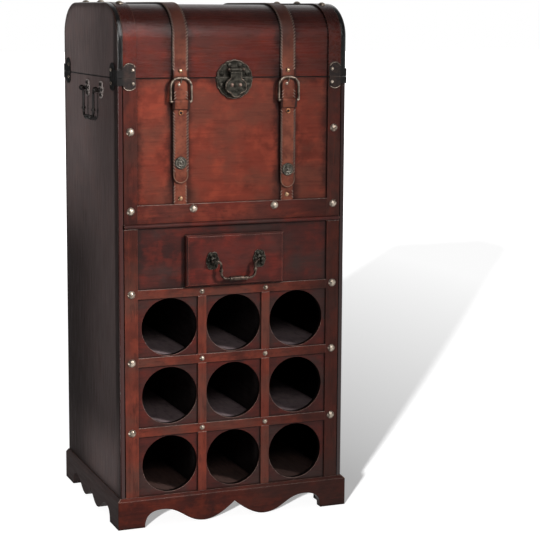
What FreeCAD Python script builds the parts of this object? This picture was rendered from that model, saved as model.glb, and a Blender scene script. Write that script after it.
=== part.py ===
import FreeCAD, Part
import math
import os

# Wine cabinet in the manner of an old travelling trunk: a hinged arched lid over a chest,
# one small drawer, and a rack of round bottle holes on a scalloped plinth.
# Millimetres. X runs to the right as one faces the cabinet, the front looks along -Y, Z is up.

# Case
CASE_WIDTH = 424.0
CASE_DEPTH = 350.0
SIDE_THICK = 10.0
EDGE_ROUND = 3.0
FACE_SETBACK = 2.5
FRONT_THICK = 10.0
BACK_THICK = 8.0
FLOOR_THICK = 10.0
SEAM_Z = 791.0
SEAM_GAP = 0.4
WAIST_Z = 536.5
WAIST_HEIGHT = 9.0
WAIST_REACH = 6.5

# Strips nailed on the front
STRIP_THICK = 3.0
STILE_WIDTH = 24.0
TRUNK_RAIL_HEIGHT = 32.0
RACK_RAIL_HEIGHT = 16.0
RACK_RAIL_Z = (171.0, 296.5, 417.0)
BATTEN_X = 60.0
BATTEN_WIDTH = 15.5

# Bottle rack
HOLE_RADIUS = 51.0
HOLE_X = (-120.0, 0.0, 120.0)
HOLE_Z = (110.0, 234.0, 357.0)
SHELF_THICK = 8.0

# Plinth
PLINTH_HEIGHT = 55.0
PLINTH_OVERHANG = 6.0
PLINTH_BACK_OVERHANG = 3.0
PLINTH_THICK = 16.0
PLINTH_CHAMFER = 5.0
RACK_FLOOR_THICK = 8.0
FRONT_SKIRT = {"foot": (169.0, 0.0), "arch": (136.0, 30.0), "lobe": (57.0, 2.0), "cusp": (0.0, 31.0)}
SIDE_SKIRT = {"foot": (125.0, 0.0), "arch": (100.0, 27.0), "lobe": (40.0, 4.0), "cusp": (0.0, 27.0)}
# The ends of each skirt curve, and its two inner poles as shares of the way across and up
SKIRT_CURVES = (
    ("foot", "arch", (0.0, 0.8), (0.45, 1.0)),
    ("arch", "lobe", (0.45, 0.0), (0.55, 1.0)),
    ("lobe", "cusp", (0.34, 0.0), (0.74, 0.54)),
)
BACK_CUT = {"foot": 152.0, "top": 138.0, "rise": 26.0}
CORNER_BLOCK = 28.0
CORNER_BLOCK_LIFT = 4.0

# Lid
LID_WALL = 70.0
LID_CURVE_DEPTH = 80.0
LID_CURVE_RISE = 58.0
LID_SHELL_THICK = 8.0
LID_RIM_ROUND = 2.5

# Drawer
DRAWER_HALF_WIDTH = 91.0
DRAWER_Z = (427.0, 518.0)
DRAWER_FRONT_THICK = 11.5
DRAWER_BEVEL = 3.0
DRAWER_BOX_HALF = 80.0
DRAWER_BOX_Z = (433.0, 507.0)
DRAWER_WALL = 8.0
DRAWER_DEPTH = 290.0
DRAWER_BOTTOM_Z = (437.0, 441.0)
DRAWER_GROOVE = 3.0
OPENING_MARGIN = 1.6
RUNNER_GAP = 0.3
RUNNER_LEDGE = 14.0
RUNNER_WALL = 14.0
RUNNER_HEIGHT = 46.0
MOVING_GAP = 0.3

# Straps
STRAP_X = 100.0
STRAP_WIDTH = 28.5
LOWER_STRAP_WIDTH = 25.0
STRAP_THICK = 2.5
STRAP_FLEX_Z = 797.0
TAB_TOP_Z = 796.5
LEFT_TAB = {"tip_z": 609.0, "concho_z": 645.0}
RIGHT_TAB = {"tip_z": 595.0, "concho_z": 628.0}
LOWER_STRAP_TOP_Z = 668.0
BUCKLE_HALF = 18.75
BUCKLE_WIRE = 2.25
BUCKLE_BAR_Z = 751.0
BUCKLE_TOP_Z = 791.2
BUCKLE_TURN = 15.0
KEEPER_HALF = 15.0
KEEPER_Z = (738.0, 754.5)
KEEPER_DEPTH = 5.8
TONGUE_HALF = 12.0
TONGUE_TOP_Z = 787.0
TONGUE_THICK = 2.0
# Radius and rise of the ornament, from its back to the middle of its face
CONCHO_PROFILE = (
    (0, 0), (11, 0), (11, 1.3), (9.4, 2.6), (8, 1.7), (6.4, 1.7), (5.2, 3), (3, 2.4), (0, 3.6),
)

# Latch
LATCH_Z = 788.0
LATCH_RADIUS = 34.0
LATCH_LOBES = 16
LATCH_CUSP = 0.965
LATCH_THICK = 2.0
PIN_Z = 805.0
PIN_STANDOFF = 7.0
PIN_RADIUS = 2.0
PIN_HALF = 11.8
PIN_BALL = 3.2
RUNNING_GAP = 0.05
KNUCKLE_RADIUS = 4.0
FLAP_KNUCKLE_HALF = 7.0
LUG_X = (7.3, 9.8)
FLAP_THICK = 2.5
# Poles of the flap's outline from neck to tip, as half width and height
FLAP_CURVES = (
    ((10.0, 792.5), (10.5, 787.0), (20.0, 787.5), (20.0, 775.5)),
    ((20.0, 775.5), (20.0, 766.0), (12.5, 765.0), (9.5, 763.5)),
    ((9.5, 763.5), (7.0, 757.5), (4.0, 757.0), (0.0, 757.0)),
)
STUD_X = 7.5
STUD_Z = 778.5
STUD = {"radius": 3.4, "height": 3.0}

# Corner plates
CORNER_THICK = 1.0
CORNER_LEG = 32.0
CORNER_SIDE_LEG = 45.0
CORNER_BACK_LEG = 10.0
CORNER_LOBE = 0.67
LID_CORNER = {"band": 14.0, "shoulder": 18.5, "lobe": 26.0}
BODY_CORNER = {"band": 12.0, "shoulder": 15.5, "lobe": 21.0}

# Hinges
HINGE_X = 145.0
HINGE_HALF = 22.0
HINGE_LEAF_HEIGHT = 28.0
HINGE_LEAF_THICK = 1.5
HINGE_AXIS_OFFSET = 3.5
HINGE_AXIS_Z = 791.2
HINGE_KNUCKLE = 3.1
HINGE_PIN = 1.5
HINGE_MIDDLE_HALF = 9.8
HINGE_OUTER_START = 10.0
HINGE_LEAF_CLEAR = 3.6

# Bail handles
POST_SPACING = 88.0
POST_STANDOFF = 12.0
POST_BALL = 5.0
POST_NECK = 3.2
ROSETTE_HALF = (12.0, 16.5)
ROSETTE_LOBES = 6
ROSETTE_CUSP = 0.88
ROSETTE_THICK = 2.0
BOSS = {"radius": 7.0, "height": 3.0}
BAIL_WIRE = 2.2
BAIL_TOP_TURN = 8.0
BAIL_LOW_TURN = 11.0
DRAWER_BAIL = {"leg": 32.0, "drop": 31.5}
SIDE_BAIL = {"leg": 32.0, "drop": 50.0}
# Turned swellings on the bail, as distance along the wire and radius
COLLAR_LIFT = 3.5
COLLAR_PROFILE = ((-2.6, 2.2), (-1.6, 3.6), (1.6, 3.6), (2.6, 2.2))
GRIP_PROFILE = (
    (-17.0, 2.2), (-16.0, 4.2), (-13.5, 4.2), (-12.5, 3.2), (-5.0, 4.0),
    (5.0, 4.0), (12.5, 3.2), (13.5, 4.2), (16.0, 4.2), (17.0, 2.2),
)
DRAWER_POST_Z = 472.0
SIDE_POST_Z = 768.0
SIDE_POST_Y = -34.0

# Dome nails
LARGE_NAIL = {"radius": 7.0, "height": 4.0}
SMALL_NAIL = {"radius": 4.5, "height": 3.0}
STILE_NAIL_X = 190.0
STILE_NAIL_Z = (171.5, 297.0, 418.0, 563.5, 700.0)
TRUNK_RAIL_NAIL_X = 76.0
TRUNK_RAIL_NAIL_Z = 564.5
LID_NAIL_Y = (-116.0, 0.0, 100.0)

# Derived places
HALF_WIDTH = CASE_WIDTH / 2
HALF_DEPTH = CASE_DEPTH / 2
INNER_X = HALF_WIDTH - SIDE_THICK
FACE_Y = FACE_SETBACK - HALF_DEPTH
FRONT_INNER_Y = FACE_Y + FRONT_THICK
BACK_Y = HALF_DEPTH - FACE_SETBACK
BACK_INNER_Y = BACK_Y - BACK_THICK
STRIP_Y = FACE_Y - STRIP_THICK
STILE_X = INNER_X - STILE_WIDTH
LID_Z = SEAM_Z + SEAM_GAP
WAIST_TOP = WAIST_Z + WAIST_HEIGHT / 2
WAIST_BOTTOM = WAIST_Z - WAIST_HEIGHT / 2
TRUNK_RAIL_TOP = WAIST_TOP + TRUNK_RAIL_HEIGHT
DRAWER_FLOOR_TOP = RACK_RAIL_Z[2] + FLOOR_THICK / 2
RACK_TOP = DRAWER_FLOOR_TOP - FLOOR_THICK
TAB_BACK_Y = FACE_Y - STRAP_THICK - MOVING_GAP
TAB_FRONT_Y = TAB_BACK_Y - STRAP_THICK
DRAWER_BACK_Y = FACE_Y - MOVING_GAP
DRAWER_FACE_Y = DRAWER_BACK_Y - DRAWER_FRONT_THICK
PLINTH_FRONT_Y = -HALF_DEPTH - PLINTH_OVERHANG
PLINTH_BACK_Y = HALF_DEPTH + PLINTH_BACK_OVERHANG
HINGE_AXIS_Y = BACK_Y + HINGE_AXIS_OFFSET
QUARTER_TURN = 90.0
FULL_TURN = 360.0

V = FreeCAD.Vector
ORIGIN = V(0, 0, 0)
X_AXIS = V(1, 0, 0)
Y_AXIS = V(0, 1, 0)
Z_AXIS = V(0, 0, 1)


def block(x, y, z):
    """Box between the two values of each pair."""
    return Part.makeBox(x[1] - x[0], y[1] - y[0], z[1] - z[0], V(x[0], y[0], z[0]))


def rod(radius, start, end):
    """Round bar between two points."""
    return Part.makeCylinder(radius, start.distanceToPoint(end), start, end.sub(start))


def dome(nail, base, direction):
    """Low round head that stands on base and points along direction."""
    radius = nail["radius"]
    height = nail["height"]
    sphere = (radius ** 2 + height ** 2) / (2 * height)
    sunk = sphere - height
    low = math.degrees(math.asin(sunk / sphere))
    centre = base.sub(V(direction).multiply(sunk))
    return Part.makeSphere(sphere, centre, direction, low, QUARTER_TURN, FULL_TURN)


def mirrored(shape):
    """The same piece on the other side of the cabinet."""
    return shape.mirror(ORIGIN, X_AXIS)


def both_sides(shape):
    return [mirrored(shape), shape]


def lines(points):
    """Straight edges through the points in order."""
    return [Part.makeLine(a, b) for a, b in zip(points, points[1:])]


def bezier(points):
    curve = Part.BezierCurve()
    curve.setPoles(points)
    return curve.toShape()


def arc(start, middle, end):
    return Part.Arc(start, middle, end).toShape()


def plate(edges, sweep):
    """Solid made by sweeping the closed outline of the edges along a vector."""
    wire = Part.Wire(Part.sortEdges(edges)[0])
    return Part.Face(wire).extrude(sweep)


def polygon(points, sweep):
    return plate(lines(points + points[:1]), sweep)


def lobed_outline(half_u, half_z, lobes, cusp, centre):
    """Ring of round lobes that meet in cusps, upright in the XZ plane."""

    def at(step, scale):
        angle = 2 * math.pi * step / lobes
        return centre.add(V(scale * half_u * math.cos(angle), 0, scale * half_z * math.sin(angle)))

    return [arc(at(i - 0.5, cusp), at(i, 1), at(i + 0.5, cusp)) for i in range(lobes)]


def rounded_path(points, radii):
    """Straight runs through the points, with a tangent arc of the given radius at each inner point."""
    edges = []
    start = points[0]
    for before, corner, after, radius in zip(points, points[1:], points[2:], radii):
        towards = before.sub(corner).normalize()
        away = after.sub(corner).normalize()
        half = towards.getAngle(away) / 2
        reach = radius / math.tan(half)
        first = corner.add(V(towards).multiply(reach))
        last = corner.add(V(away).multiply(reach))
        inward = towards.add(away).normalize()
        middle = corner.add(inward.multiply(radius / math.sin(half) - radius))
        edges += [Part.makeLine(start, first), arc(first, middle, last)]
        start = last
    edges.append(Part.makeLine(start, points[-1]))
    return Part.Wire(edges)


def wire_along(path, radius):
    """Round wire along a path of runs and arcs."""
    start = path.Edges[0].Vertexes[0].Point
    heading = path.Edges[0].tangentAt(path.Edges[0].FirstParameter)
    section = Part.Wire(Part.makeCircle(radius, start, heading))
    return path.makePipeShell([section], True, False)


# Case

def side_panel():
    """Right side panel with softly rounded front edges."""
    panel = block((INNER_X, HALF_WIDTH), (-HALF_DEPTH, HALF_DEPTH), (PLINTH_HEIGHT, SEAM_Z))
    front = [e for e in panel.Edges if e.CenterOfMass.y < FACE_Y and e.Length > CASE_DEPTH]
    return panel.makeFillet(EDGE_ROUND, front)


def case_boards():
    inside_x = (-INNER_X, INNER_X)
    inside_y = (FRONT_INNER_Y, BACK_INNER_Y)
    trunk_floor_z = (WAIST_Z - FLOOR_THICK / 2, WAIST_Z + FLOOR_THICK / 2)
    return {
        "left_side_panel": mirrored(side_panel()),
        "right_side_panel": side_panel(),
        "back_panel": block(inside_x, (BACK_INNER_Y, BACK_Y), (PLINTH_HEIGHT, SEAM_Z)),
        "trunk_floor": block(inside_x, inside_y, trunk_floor_z),
        "drawer_floor": block(inside_x, inside_y, (RACK_TOP, DRAWER_FLOOR_TOP)),
        "trunk_front": front_board(WAIST_Z, SEAM_Z),
        "drawer_fascia": drawer_fascia(),
    }


def front_board(low, high):
    return block((-INNER_X, INNER_X), (FACE_Y, FRONT_INNER_Y), (low, high))


def drawer_fascia():
    """Board across the drawer section with the opening that the drawer box slides through."""
    half = DRAWER_BOX_HALF + OPENING_MARGIN
    height = (DRAWER_BOX_Z[0] - OPENING_MARGIN, DRAWER_BOX_Z[1] + OPENING_MARGIN)
    opening = block((-half, half), (FACE_Y, FRONT_INNER_Y), height)
    return front_board(RACK_RAIL_Z[2], WAIST_Z).cut(opening)


# Bottle rack

def rack_front(row, low, high):
    """Board with one row of round bottle holes."""
    board = front_board(low, high)
    for x in HOLE_X:
        hole = rod(HOLE_RADIUS, V(x, FACE_Y, HOLE_Z[row]), V(x, FRONT_INNER_Y, HOLE_Z[row]))
        board = board.cut(hole)
    return board


def rack_boards():
    """Shelves and dividers, half-lapped where they cross, behind the three bored boards."""
    half = SHELF_THICK / 2
    middle_y = (FRONT_INNER_Y + BACK_INNER_Y) / 2
    shelves = []
    for z in RACK_RAIL_Z[:2]:
        shelf = block((-INNER_X, INNER_X), (FRONT_INNER_Y, BACK_INNER_Y), (z - half, z + half))
        for x in (-BATTEN_X, BATTEN_X):
            shelf = shelf.cut(block((x - half, x + half), (middle_y, BACK_INNER_Y), (z - half, z + half)))
        shelves.append(shelf)
    divider_x = (BATTEN_X - half, BATTEN_X + half)
    divider = block(divider_x, (FRONT_INNER_Y, BACK_INNER_Y), (PLINTH_HEIGHT, RACK_TOP))
    for z in RACK_RAIL_Z[:2]:
        divider = divider.cut(block(divider_x, (FRONT_INNER_Y, middle_y), (z - half, z + half)))
    floor_y = (PLINTH_FRONT_Y + PLINTH_THICK, PLINTH_BACK_Y - PLINTH_THICK)
    floor_z = (PLINTH_HEIGHT - RACK_FLOOR_THICK, PLINTH_HEIGHT)
    return {
        "rack_front_lower": rack_front(0, PLINTH_HEIGHT, RACK_RAIL_Z[0]),
        "rack_front_middle": rack_front(1, RACK_RAIL_Z[0], RACK_RAIL_Z[1]),
        "rack_front_upper": rack_front(2, RACK_RAIL_Z[1], RACK_RAIL_Z[2]),
        "rack_shelves": Part.makeCompound(shelves),
        "rack_dividers": Part.makeCompound(both_sides(divider)),
        "rack_floor": block((-INNER_X, INNER_X), floor_y, floor_z),
    }


# Strips, battens and the waist moulding

def strip(x, z):
    return block(x, (STRIP_Y, FACE_Y), z)


def front_strips():
    half_rail = RACK_RAIL_HEIGHT / 2
    rails = [strip((-STILE_X, STILE_X), (z - half_rail, z + half_rail)) for z in RACK_RAIL_Z]
    batten_x = (BATTEN_X - BATTEN_WIDTH / 2, BATTEN_X + BATTEN_WIDTH / 2)
    feet = [PLINTH_HEIGHT] + [z + half_rail for z in RACK_RAIL_Z[:2]]
    heads = [z - half_rail for z in RACK_RAIL_Z]
    battens = []
    for low, high in zip(feet, heads):
        battens += both_sides(strip(batten_x, (low, high)))
    stile_x = (STILE_X, INNER_X)
    return {
        "trunk_stiles": Part.makeCompound(both_sides(strip(stile_x, (WAIST_TOP, SEAM_Z)))),
        "rack_stiles": Part.makeCompound(both_sides(strip(stile_x, (PLINTH_HEIGHT, WAIST_BOTTOM)))),
        "trunk_bottom_rail": strip((-STILE_X, STILE_X), (WAIST_TOP, TRUNK_RAIL_TOP)),
        "rack_rails": Part.makeCompound(rails),
        "rack_battens": Part.makeCompound(battens),
        "waist_moulding": waist_moulding(),
    }


def waist_moulding():
    """Half-oval bead across the front between chest and drawer section."""
    centre = V(-INNER_X, FACE_Y, WAIST_Z)
    top = V(-INNER_X, FACE_Y, WAIST_TOP)
    bottom = V(-INNER_X, FACE_Y, WAIST_BOTTOM)
    oval = Part.Ellipse(centre.sub(V(0, WAIST_REACH, 0)), top, centre)
    bead_edge = Part.ArcOfEllipse(oval, -math.pi / 2, math.pi / 2).toShape()
    return plate([bead_edge, Part.makeLine(bottom, top)], V(2 * INNER_X, 0, 0))


# Plinth

def skirt_curves(skirt, side):
    """Half of the scalloped lower edge: foot, high arch, low lobe and the cusp in the middle."""
    curves = []
    for first, last, *shares in SKIRT_CURVES:
        u, z = skirt[first]
        end_u, end_z = skirt[last]
        inner = [(u + across * (end_u - u), z + up * (end_z - z)) for across, up in shares]
        poles = [skirt[first]] + inner + [skirt[last]]
        curves.append(bezier([V(side * across, 0, up) for across, up in poles]))
    return curves


def skirt_board(half, skirt):
    """Scalloped board with its face on the XZ plane, its top edge chamfered."""
    foot = skirt["foot"][0]
    outline = ((-foot, 0), (-half, 0), (-half, PLINTH_HEIGHT), (half, PLINTH_HEIGHT), (half, 0), (foot, 0))
    frame = lines([V(u, 0, z) for u, z in outline])
    board = plate(frame + skirt_curves(skirt, 1) + skirt_curves(skirt, -1), V(0, PLINTH_THICK, 0))
    edge = PLINTH_HEIGHT - PLINTH_CHAMFER
    waste = ((0, edge), (0, PLINTH_HEIGHT), (PLINTH_CHAMFER, PLINTH_HEIGHT))
    return board.cut(polygon([V(-half, y, z) for y, z in waste], V(2 * half, 0, 0)))


def mitre_cut(half, side):
    """Waste beyond a mitre at one end of a skirt board."""
    corner = side * half
    heel = side * (half - PLINTH_THICK)
    waste = ((corner, 0), (corner, PLINTH_THICK), (heel, PLINTH_THICK))
    return polygon([V(u, y, 0) for u, y in waste], V(0, 0, PLINTH_HEIGHT))


def plinth():
    outer_x = HALF_WIDTH + PLINTH_OVERHANG
    front = skirt_board(outer_x, FRONT_SKIRT).cut(mitre_cut(outer_x, 1)).cut(mitre_cut(outer_x, -1))
    front.translate(V(0, PLINTH_FRONT_Y, 0))
    side_half = (PLINTH_BACK_Y - PLINTH_FRONT_Y) / 2
    right = skirt_board(side_half, SIDE_SKIRT).cut(mitre_cut(side_half, -1))
    right.rotate(ORIGIN, Z_AXIS, QUARTER_TURN)
    right.translate(V(outer_x, (PLINTH_FRONT_Y + PLINTH_BACK_Y) / 2, 0))
    inner_x = outer_x - PLINTH_THICK
    blocks = []
    block_z = (CORNER_BLOCK_LIFT, PLINTH_HEIGHT - RACK_FLOOR_THICK)
    for low_y in (PLINTH_FRONT_Y + PLINTH_THICK, PLINTH_BACK_Y - PLINTH_THICK - CORNER_BLOCK):
        blocks += both_sides(block((inner_x - CORNER_BLOCK, inner_x), (low_y, low_y + CORNER_BLOCK), block_z))
    return {
        "plinth_front": front,
        "plinth_left": mirrored(right),
        "plinth_right": right,
        "plinth_back": plinth_back(inner_x),
        "plinth_corner_blocks": Part.makeCompound(blocks),
    }


def plinth_back(half):
    """Plain board between the side boards, cut away between its feet."""
    foot = BACK_CUT["foot"]
    top = BACK_CUT["top"]
    rise = BACK_CUT["rise"]
    outline = ((-half, 0), (-half, PLINTH_HEIGHT), (half, PLINTH_HEIGHT), (half, 0),
               (foot, 0), (top, rise), (-top, rise), (-foot, 0))
    return polygon([V(x, PLINTH_BACK_Y, z) for x, z in outline], V(0, -PLINTH_THICK, 0))


# Lid

def lid_curve_centre(side):
    """Centre of the elliptic shoulder on the front (-1) or back (1) of the lid."""
    return V(0, side * (HALF_DEPTH - LID_CURVE_DEPTH), LID_Z + LID_WALL)


def lid_solid(inset, x):
    """The space under the arched lid outline, drawn in by inset, between two values of X."""
    depth = LID_CURVE_DEPTH - inset
    rise = LID_CURVE_RISE - inset
    half = HALF_DEPTH - inset
    shoulders = []
    tops = []
    for side in (-1, 1):
        centre = lid_curve_centre(side)
        ellipse = Part.Ellipse(centre.add(V(0, side * depth, 0)), centre.add(V(0, 0, rise)), centre)
        shoulders.append(Part.ArcOfEllipse(ellipse, 0, math.pi / 2).toShape())
        tops.append(centre.add(V(0, 0, rise)))
    spring = LID_Z + LID_WALL
    walls = lines([V(0, -half, spring), V(0, -half, LID_Z), V(0, half, LID_Z), V(0, half, spring)])
    solid = plate(shoulders + lines(tops) + walls, V(x[1] - x[0], 0, 0))
    solid.translate(V(x[0], 0, 0))
    return solid


def lid_band(outer, inner, x):
    """Layer that follows the lid over from front to back, between two insets."""
    return lid_solid(outer, x).cut(lid_solid(inner, x))


def lid_end():
    """Right arched end panel with a rounded rim."""
    panel = lid_solid(0, (INNER_X, HALF_WIDTH))
    outer_face = max(panel.Faces, key=lambda face: face.CenterOfMass.x)
    rim = [e for e in outer_face.Edges if e.CenterOfMass.z > LID_Z + LID_RIM_ROUND]
    return panel.makeFillet(LID_RIM_ROUND, rim)


def lid_strap():
    """Right leather strap over the lid, from its flex line in front to the same height behind."""
    span = strap_span(STRAP_WIDTH)
    band = lid_band(FACE_SETBACK - STRAP_THICK, FACE_SETBACK, span)
    return band.cut(block(span, (-HALF_DEPTH, HALF_DEPTH), (LID_Z, STRAP_FLEX_Z)))


def lid_boards():
    strips = lid_band(FACE_SETBACK - STRIP_THICK, FACE_SETBACK, (STILE_X, INNER_X))
    strap = lid_strap()
    return {
        "lid_shell": lid_band(FACE_SETBACK, FACE_SETBACK + LID_SHELL_THICK, (-INNER_X, INNER_X)),
        "lid_left_end": mirrored(lid_end()),
        "lid_right_end": lid_end(),
        "lid_strips": Part.makeCompound(both_sides(strips)),
        "left_lid_strap": mirrored(strap),
        "right_lid_strap": strap,
    }


# Straps

def strap_span(width):
    return (STRAP_X - width / 2, STRAP_X + width / 2)


def round_ended(half, low, high, y, thick, round_top):
    """Upright leather strip about X = 0 with one half-round end, its front face at y."""
    end = high if round_top else low
    square = low if round_top else high
    turn = end - half if round_top else end + half
    outline = lines([V(-half, y, turn), V(-half, y, square), V(half, y, square), V(half, y, turn)])
    return plate(outline + [arc(V(half, y, turn), V(0, y, end), V(-half, y, turn))], V(0, thick, 0))


def strap_tab(tip_z):
    """Hanging end of a strap with the turned-back tongue and the fold that holds the buckle bar."""
    tab = round_ended(STRAP_WIDTH / 2, tip_z, TAB_TOP_Z, TAB_FRONT_Y, STRAP_THICK, False)
    tongue_y = TAB_FRONT_Y - TONGUE_THICK
    tongue = round_ended(TONGUE_HALF, KEEPER_Z[0], TONGUE_TOP_Z, tongue_y, TONGUE_THICK, True)
    fold = block((-KEEPER_HALF, KEEPER_HALF), (TAB_FRONT_Y - KEEPER_DEPTH, TAB_FRONT_Y), KEEPER_Z)
    front_face = min(fold.Faces, key=lambda face: face.CenterOfMass.y)
    lips = [e for e in front_face.Edges if abs(e.CenterOfMass.x) < KEEPER_HALF / 2]
    fold = fold.makeFillet(TONGUE_THICK, lips)
    bar_ends = [buckle_point(x, BUCKLE_BAR_Z) for x in (-BUCKLE_HALF, BUCKLE_HALF)]
    bar = rod(BUCKLE_WIRE + RUNNING_GAP, *bar_ends)
    return tab.fuse([tongue, fold]).cut(bar).removeSplitter()


def buckle_point(x, z):
    return V(x, TAB_FRONT_Y - BUCKLE_WIRE - RUNNING_GAP, z)


def buckle():
    """Wire buckle: an arched frame on a straight bar."""
    half = BUCKLE_HALF
    outline = ((-half, BUCKLE_BAR_Z), (-half, BUCKLE_TOP_Z), (half, BUCKLE_TOP_Z), (half, BUCKLE_BAR_Z))
    corners = [buckle_point(x, z) for x, z in outline]
    frame = wire_along(rounded_path(corners, (BUCKLE_TURN, BUCKLE_TURN)), BUCKLE_WIRE)
    return frame.fuse(rod(BUCKLE_WIRE, corners[0], corners[-1])).removeSplitter()


def concho(z):
    """Round ornament with raised rings on the snap of a strap end."""
    profile = polygon_face([V(radius, TAB_FRONT_Y - rise, z) for radius, rise in CONCHO_PROFILE])
    return profile.revolve(V(0, 0, z), Y_AXIS, FULL_TURN)


def polygon_face(points):
    return Part.Face(Part.Wire(lines(points + points[:1])))


def straps():
    pieces = {}
    for name, side, tab in (("left", -1, LEFT_TAB), ("right", 1, RIGHT_TAB)):
        tab_pieces = {
            "strap_tab": strap_tab(tab["tip_z"]),
            "buckle": buckle(),
            "concho": concho(tab["concho_z"]),
        }
        for part_name, shape in tab_pieces.items():
            shape.translate(V(side * STRAP_X, 0, 0))
            pieces[f"{name}_{part_name}"] = shape
    lower_x = strap_span(LOWER_STRAP_WIDTH)
    lower = block(lower_x, (FACE_Y - STRAP_THICK, FACE_Y), (TRUNK_RAIL_TOP, LOWER_STRAP_TOP_Z))
    pieces["lower_straps"] = Part.makeCompound(both_sides(lower))
    return pieces


# Latch

def latch():
    """Round scalloped plate split at the seam, with a flap that hangs from a pin on its upper half."""
    pin_y = FACE_Y - LATCH_THICK - PIN_STANDOFF
    outline = lobed_outline(LATCH_RADIUS, LATCH_RADIUS, LATCH_LOBES, LATCH_CUSP, V(0, FACE_Y, LATCH_Z))
    disc = plate(outline, V(0, -LATCH_THICK, 0))
    reach = (-2 * LATCH_RADIUS, 2 * LATCH_RADIUS)
    depth = (pin_y, FACE_Y)
    upper = disc.cut(block(reach, depth, (LATCH_Z - 2 * LATCH_RADIUS, LID_Z)))
    lower = disc.cut(block(reach, depth, (SEAM_Z, LATCH_Z + 2 * LATCH_RADIUS)))
    bore = rod(PIN_RADIUS + RUNNING_GAP, V(-PIN_HALF, pin_y, PIN_Z), V(PIN_HALF, pin_y, PIN_Z))
    for side in (-1, 1):
        ends = sorted(side * x for x in LUG_X)
        web = block(ends, (pin_y, FACE_Y - LATCH_THICK), (PIN_Z - KNUCKLE_RADIUS, PIN_Z + KNUCKLE_RADIUS))
        eye = rod(KNUCKLE_RADIUS, V(ends[0], pin_y, PIN_Z), V(ends[1], pin_y, PIN_Z))
        upper = upper.fuse([web, eye])
    pin = rod(PIN_RADIUS, V(-PIN_HALF, pin_y, PIN_Z), V(PIN_HALF, pin_y, PIN_Z))
    ball_x = PIN_HALF + PIN_RADIUS
    balls = [Part.makeSphere(PIN_BALL, V(x, pin_y, PIN_Z)) for x in (-ball_x, ball_x)]
    stud = dome(STUD, V(STUD_X, pin_y - FLAP_THICK / 2, STUD_Z), -Y_AXIS)
    return {
        "latch_upper_plate": upper.cut(bore).removeSplitter(),
        "latch_lower_plate": lower,
        "hasp_pin": pin.fuse(balls),
        "hasp_flap": hasp_flap(pin_y, bore),
        "hasp_studs": Part.makeCompound(both_sides(stud)),
    }


def hasp_flap(pin_y, bore):
    """Cloud-shaped flap on a straight neck, with a rolled knuckle round the pin."""
    neck, neck_z = FLAP_CURVES[0][0]
    knuckle = FLAP_KNUCKLE_HALF
    step_z = PIN_Z - KNUCKLE_RADIUS - 2 * MOVING_GAP
    half = ((neck, neck_z), (neck, step_z), (knuckle, step_z), (knuckle, PIN_Z))
    y = pin_y - FLAP_THICK / 2
    top = [V(-x, y, z) for x, z in half] + [V(x, y, z) for x, z in reversed(half)]
    outline = lines(top)
    for side in (-1, 1):
        outline += [bezier([V(side * x, y, z) for x, z in poles]) for poles in FLAP_CURVES]
    flap = plate(outline, V(0, FLAP_THICK, 0))
    roll = rod(KNUCKLE_RADIUS, V(-knuckle, pin_y, PIN_Z), V(knuckle, pin_y, PIN_Z))
    return flap.fuse(roll).cut(bore).removeSplitter()


# Corner plates

def corner_leg(length, seam, direction, size):
    """One leg of a corner plate on the XZ plane: a low band at the corner and a round lobe at the far end."""
    neck = (CORNER_LOBE - 1) * length
    band, shoulder, top = (seam + direction * size[key] for key in ("band", "shoulder", "lobe"))
    outline = ((-length, shoulder), (-length, seam), (0, seam), (0, band), (neck, band), (neck, shoulder))
    edges = lines([V(u, 0, z) for u, z in outline])
    edges.append(arc(V(neck, 0, shoulder), V((neck - length) / 2, 0, top), V(-length, 0, shoulder)))
    return plate(edges, V(0, CORNER_THICK, 0))


def corner_plate(seam, direction, size, back):
    """Right corner plate bent round the edge between a side and the front or back."""
    outer_x = HALF_WIDTH + CORNER_THICK
    if back:
        corner_y = HALF_DEPTH + CORNER_THICK
        height = sorted((seam, seam + direction * size["band"]))
        face = block((HALF_WIDTH - CORNER_BACK_LEG, outer_x), (HALF_DEPTH, corner_y), height)
    else:
        corner_y = STRIP_Y - CORNER_THICK
        face = corner_leg(CORNER_LEG + CORNER_THICK, seam, direction, size)
        face.translate(V(outer_x, corner_y, 0))
    leg = corner_leg(CORNER_SIDE_LEG, seam, direction, size)
    leg.rotate(ORIGIN, Z_AXIS, QUARTER_TURN if back else -QUARTER_TURN)
    leg.translate(V(outer_x if back else HALF_WIDTH, corner_y, 0))
    return face.fuse(leg).removeSplitter()


def corner_plates():
    lid = []
    body = []
    for back in (False, True):
        lid += both_sides(corner_plate(LID_Z, 1, LID_CORNER, back))
        body += both_sides(corner_plate(SEAM_Z, -1, BODY_CORNER, back))
    return {"lid_corner_plates": Part.makeCompound(lid), "body_corner_plates": Part.makeCompound(body)}


# Hinges

def hinge_rod(radius, start, end):
    """Round bar on the hinge line, between two distances from the middle of the right hinge."""
    ends = [V(HINGE_X + reach, HINGE_AXIS_Y, HINGE_AXIS_Z) for reach in (start, end)]
    return rod(radius, *ends)


def hinge_leaf(knuckles, direction):
    """Leaf above (1) or below (-1) the hinge line, with its bored knuckles."""
    edge = HINGE_AXIS_Z + direction * HINGE_LEAF_CLEAR
    far = edge + direction * HINGE_LEAF_HEIGHT
    leaf_y = (BACK_Y, BACK_Y + HINGE_LEAF_THICK)
    leaf = block((HINGE_X - HINGE_HALF, HINGE_X + HINGE_HALF), leaf_y, sorted((edge, far)))
    for start, end in knuckles:
        web = block((HINGE_X + start, HINGE_X + end), leaf_y, sorted((edge, HINGE_AXIS_Z)))
        leaf = leaf.fuse([web, hinge_rod(HINGE_KNUCKLE, start, end)])
    return leaf.cut(hinge_rod(HINGE_PIN + RUNNING_GAP, -HINGE_HALF, HINGE_HALF)).removeSplitter()


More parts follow.
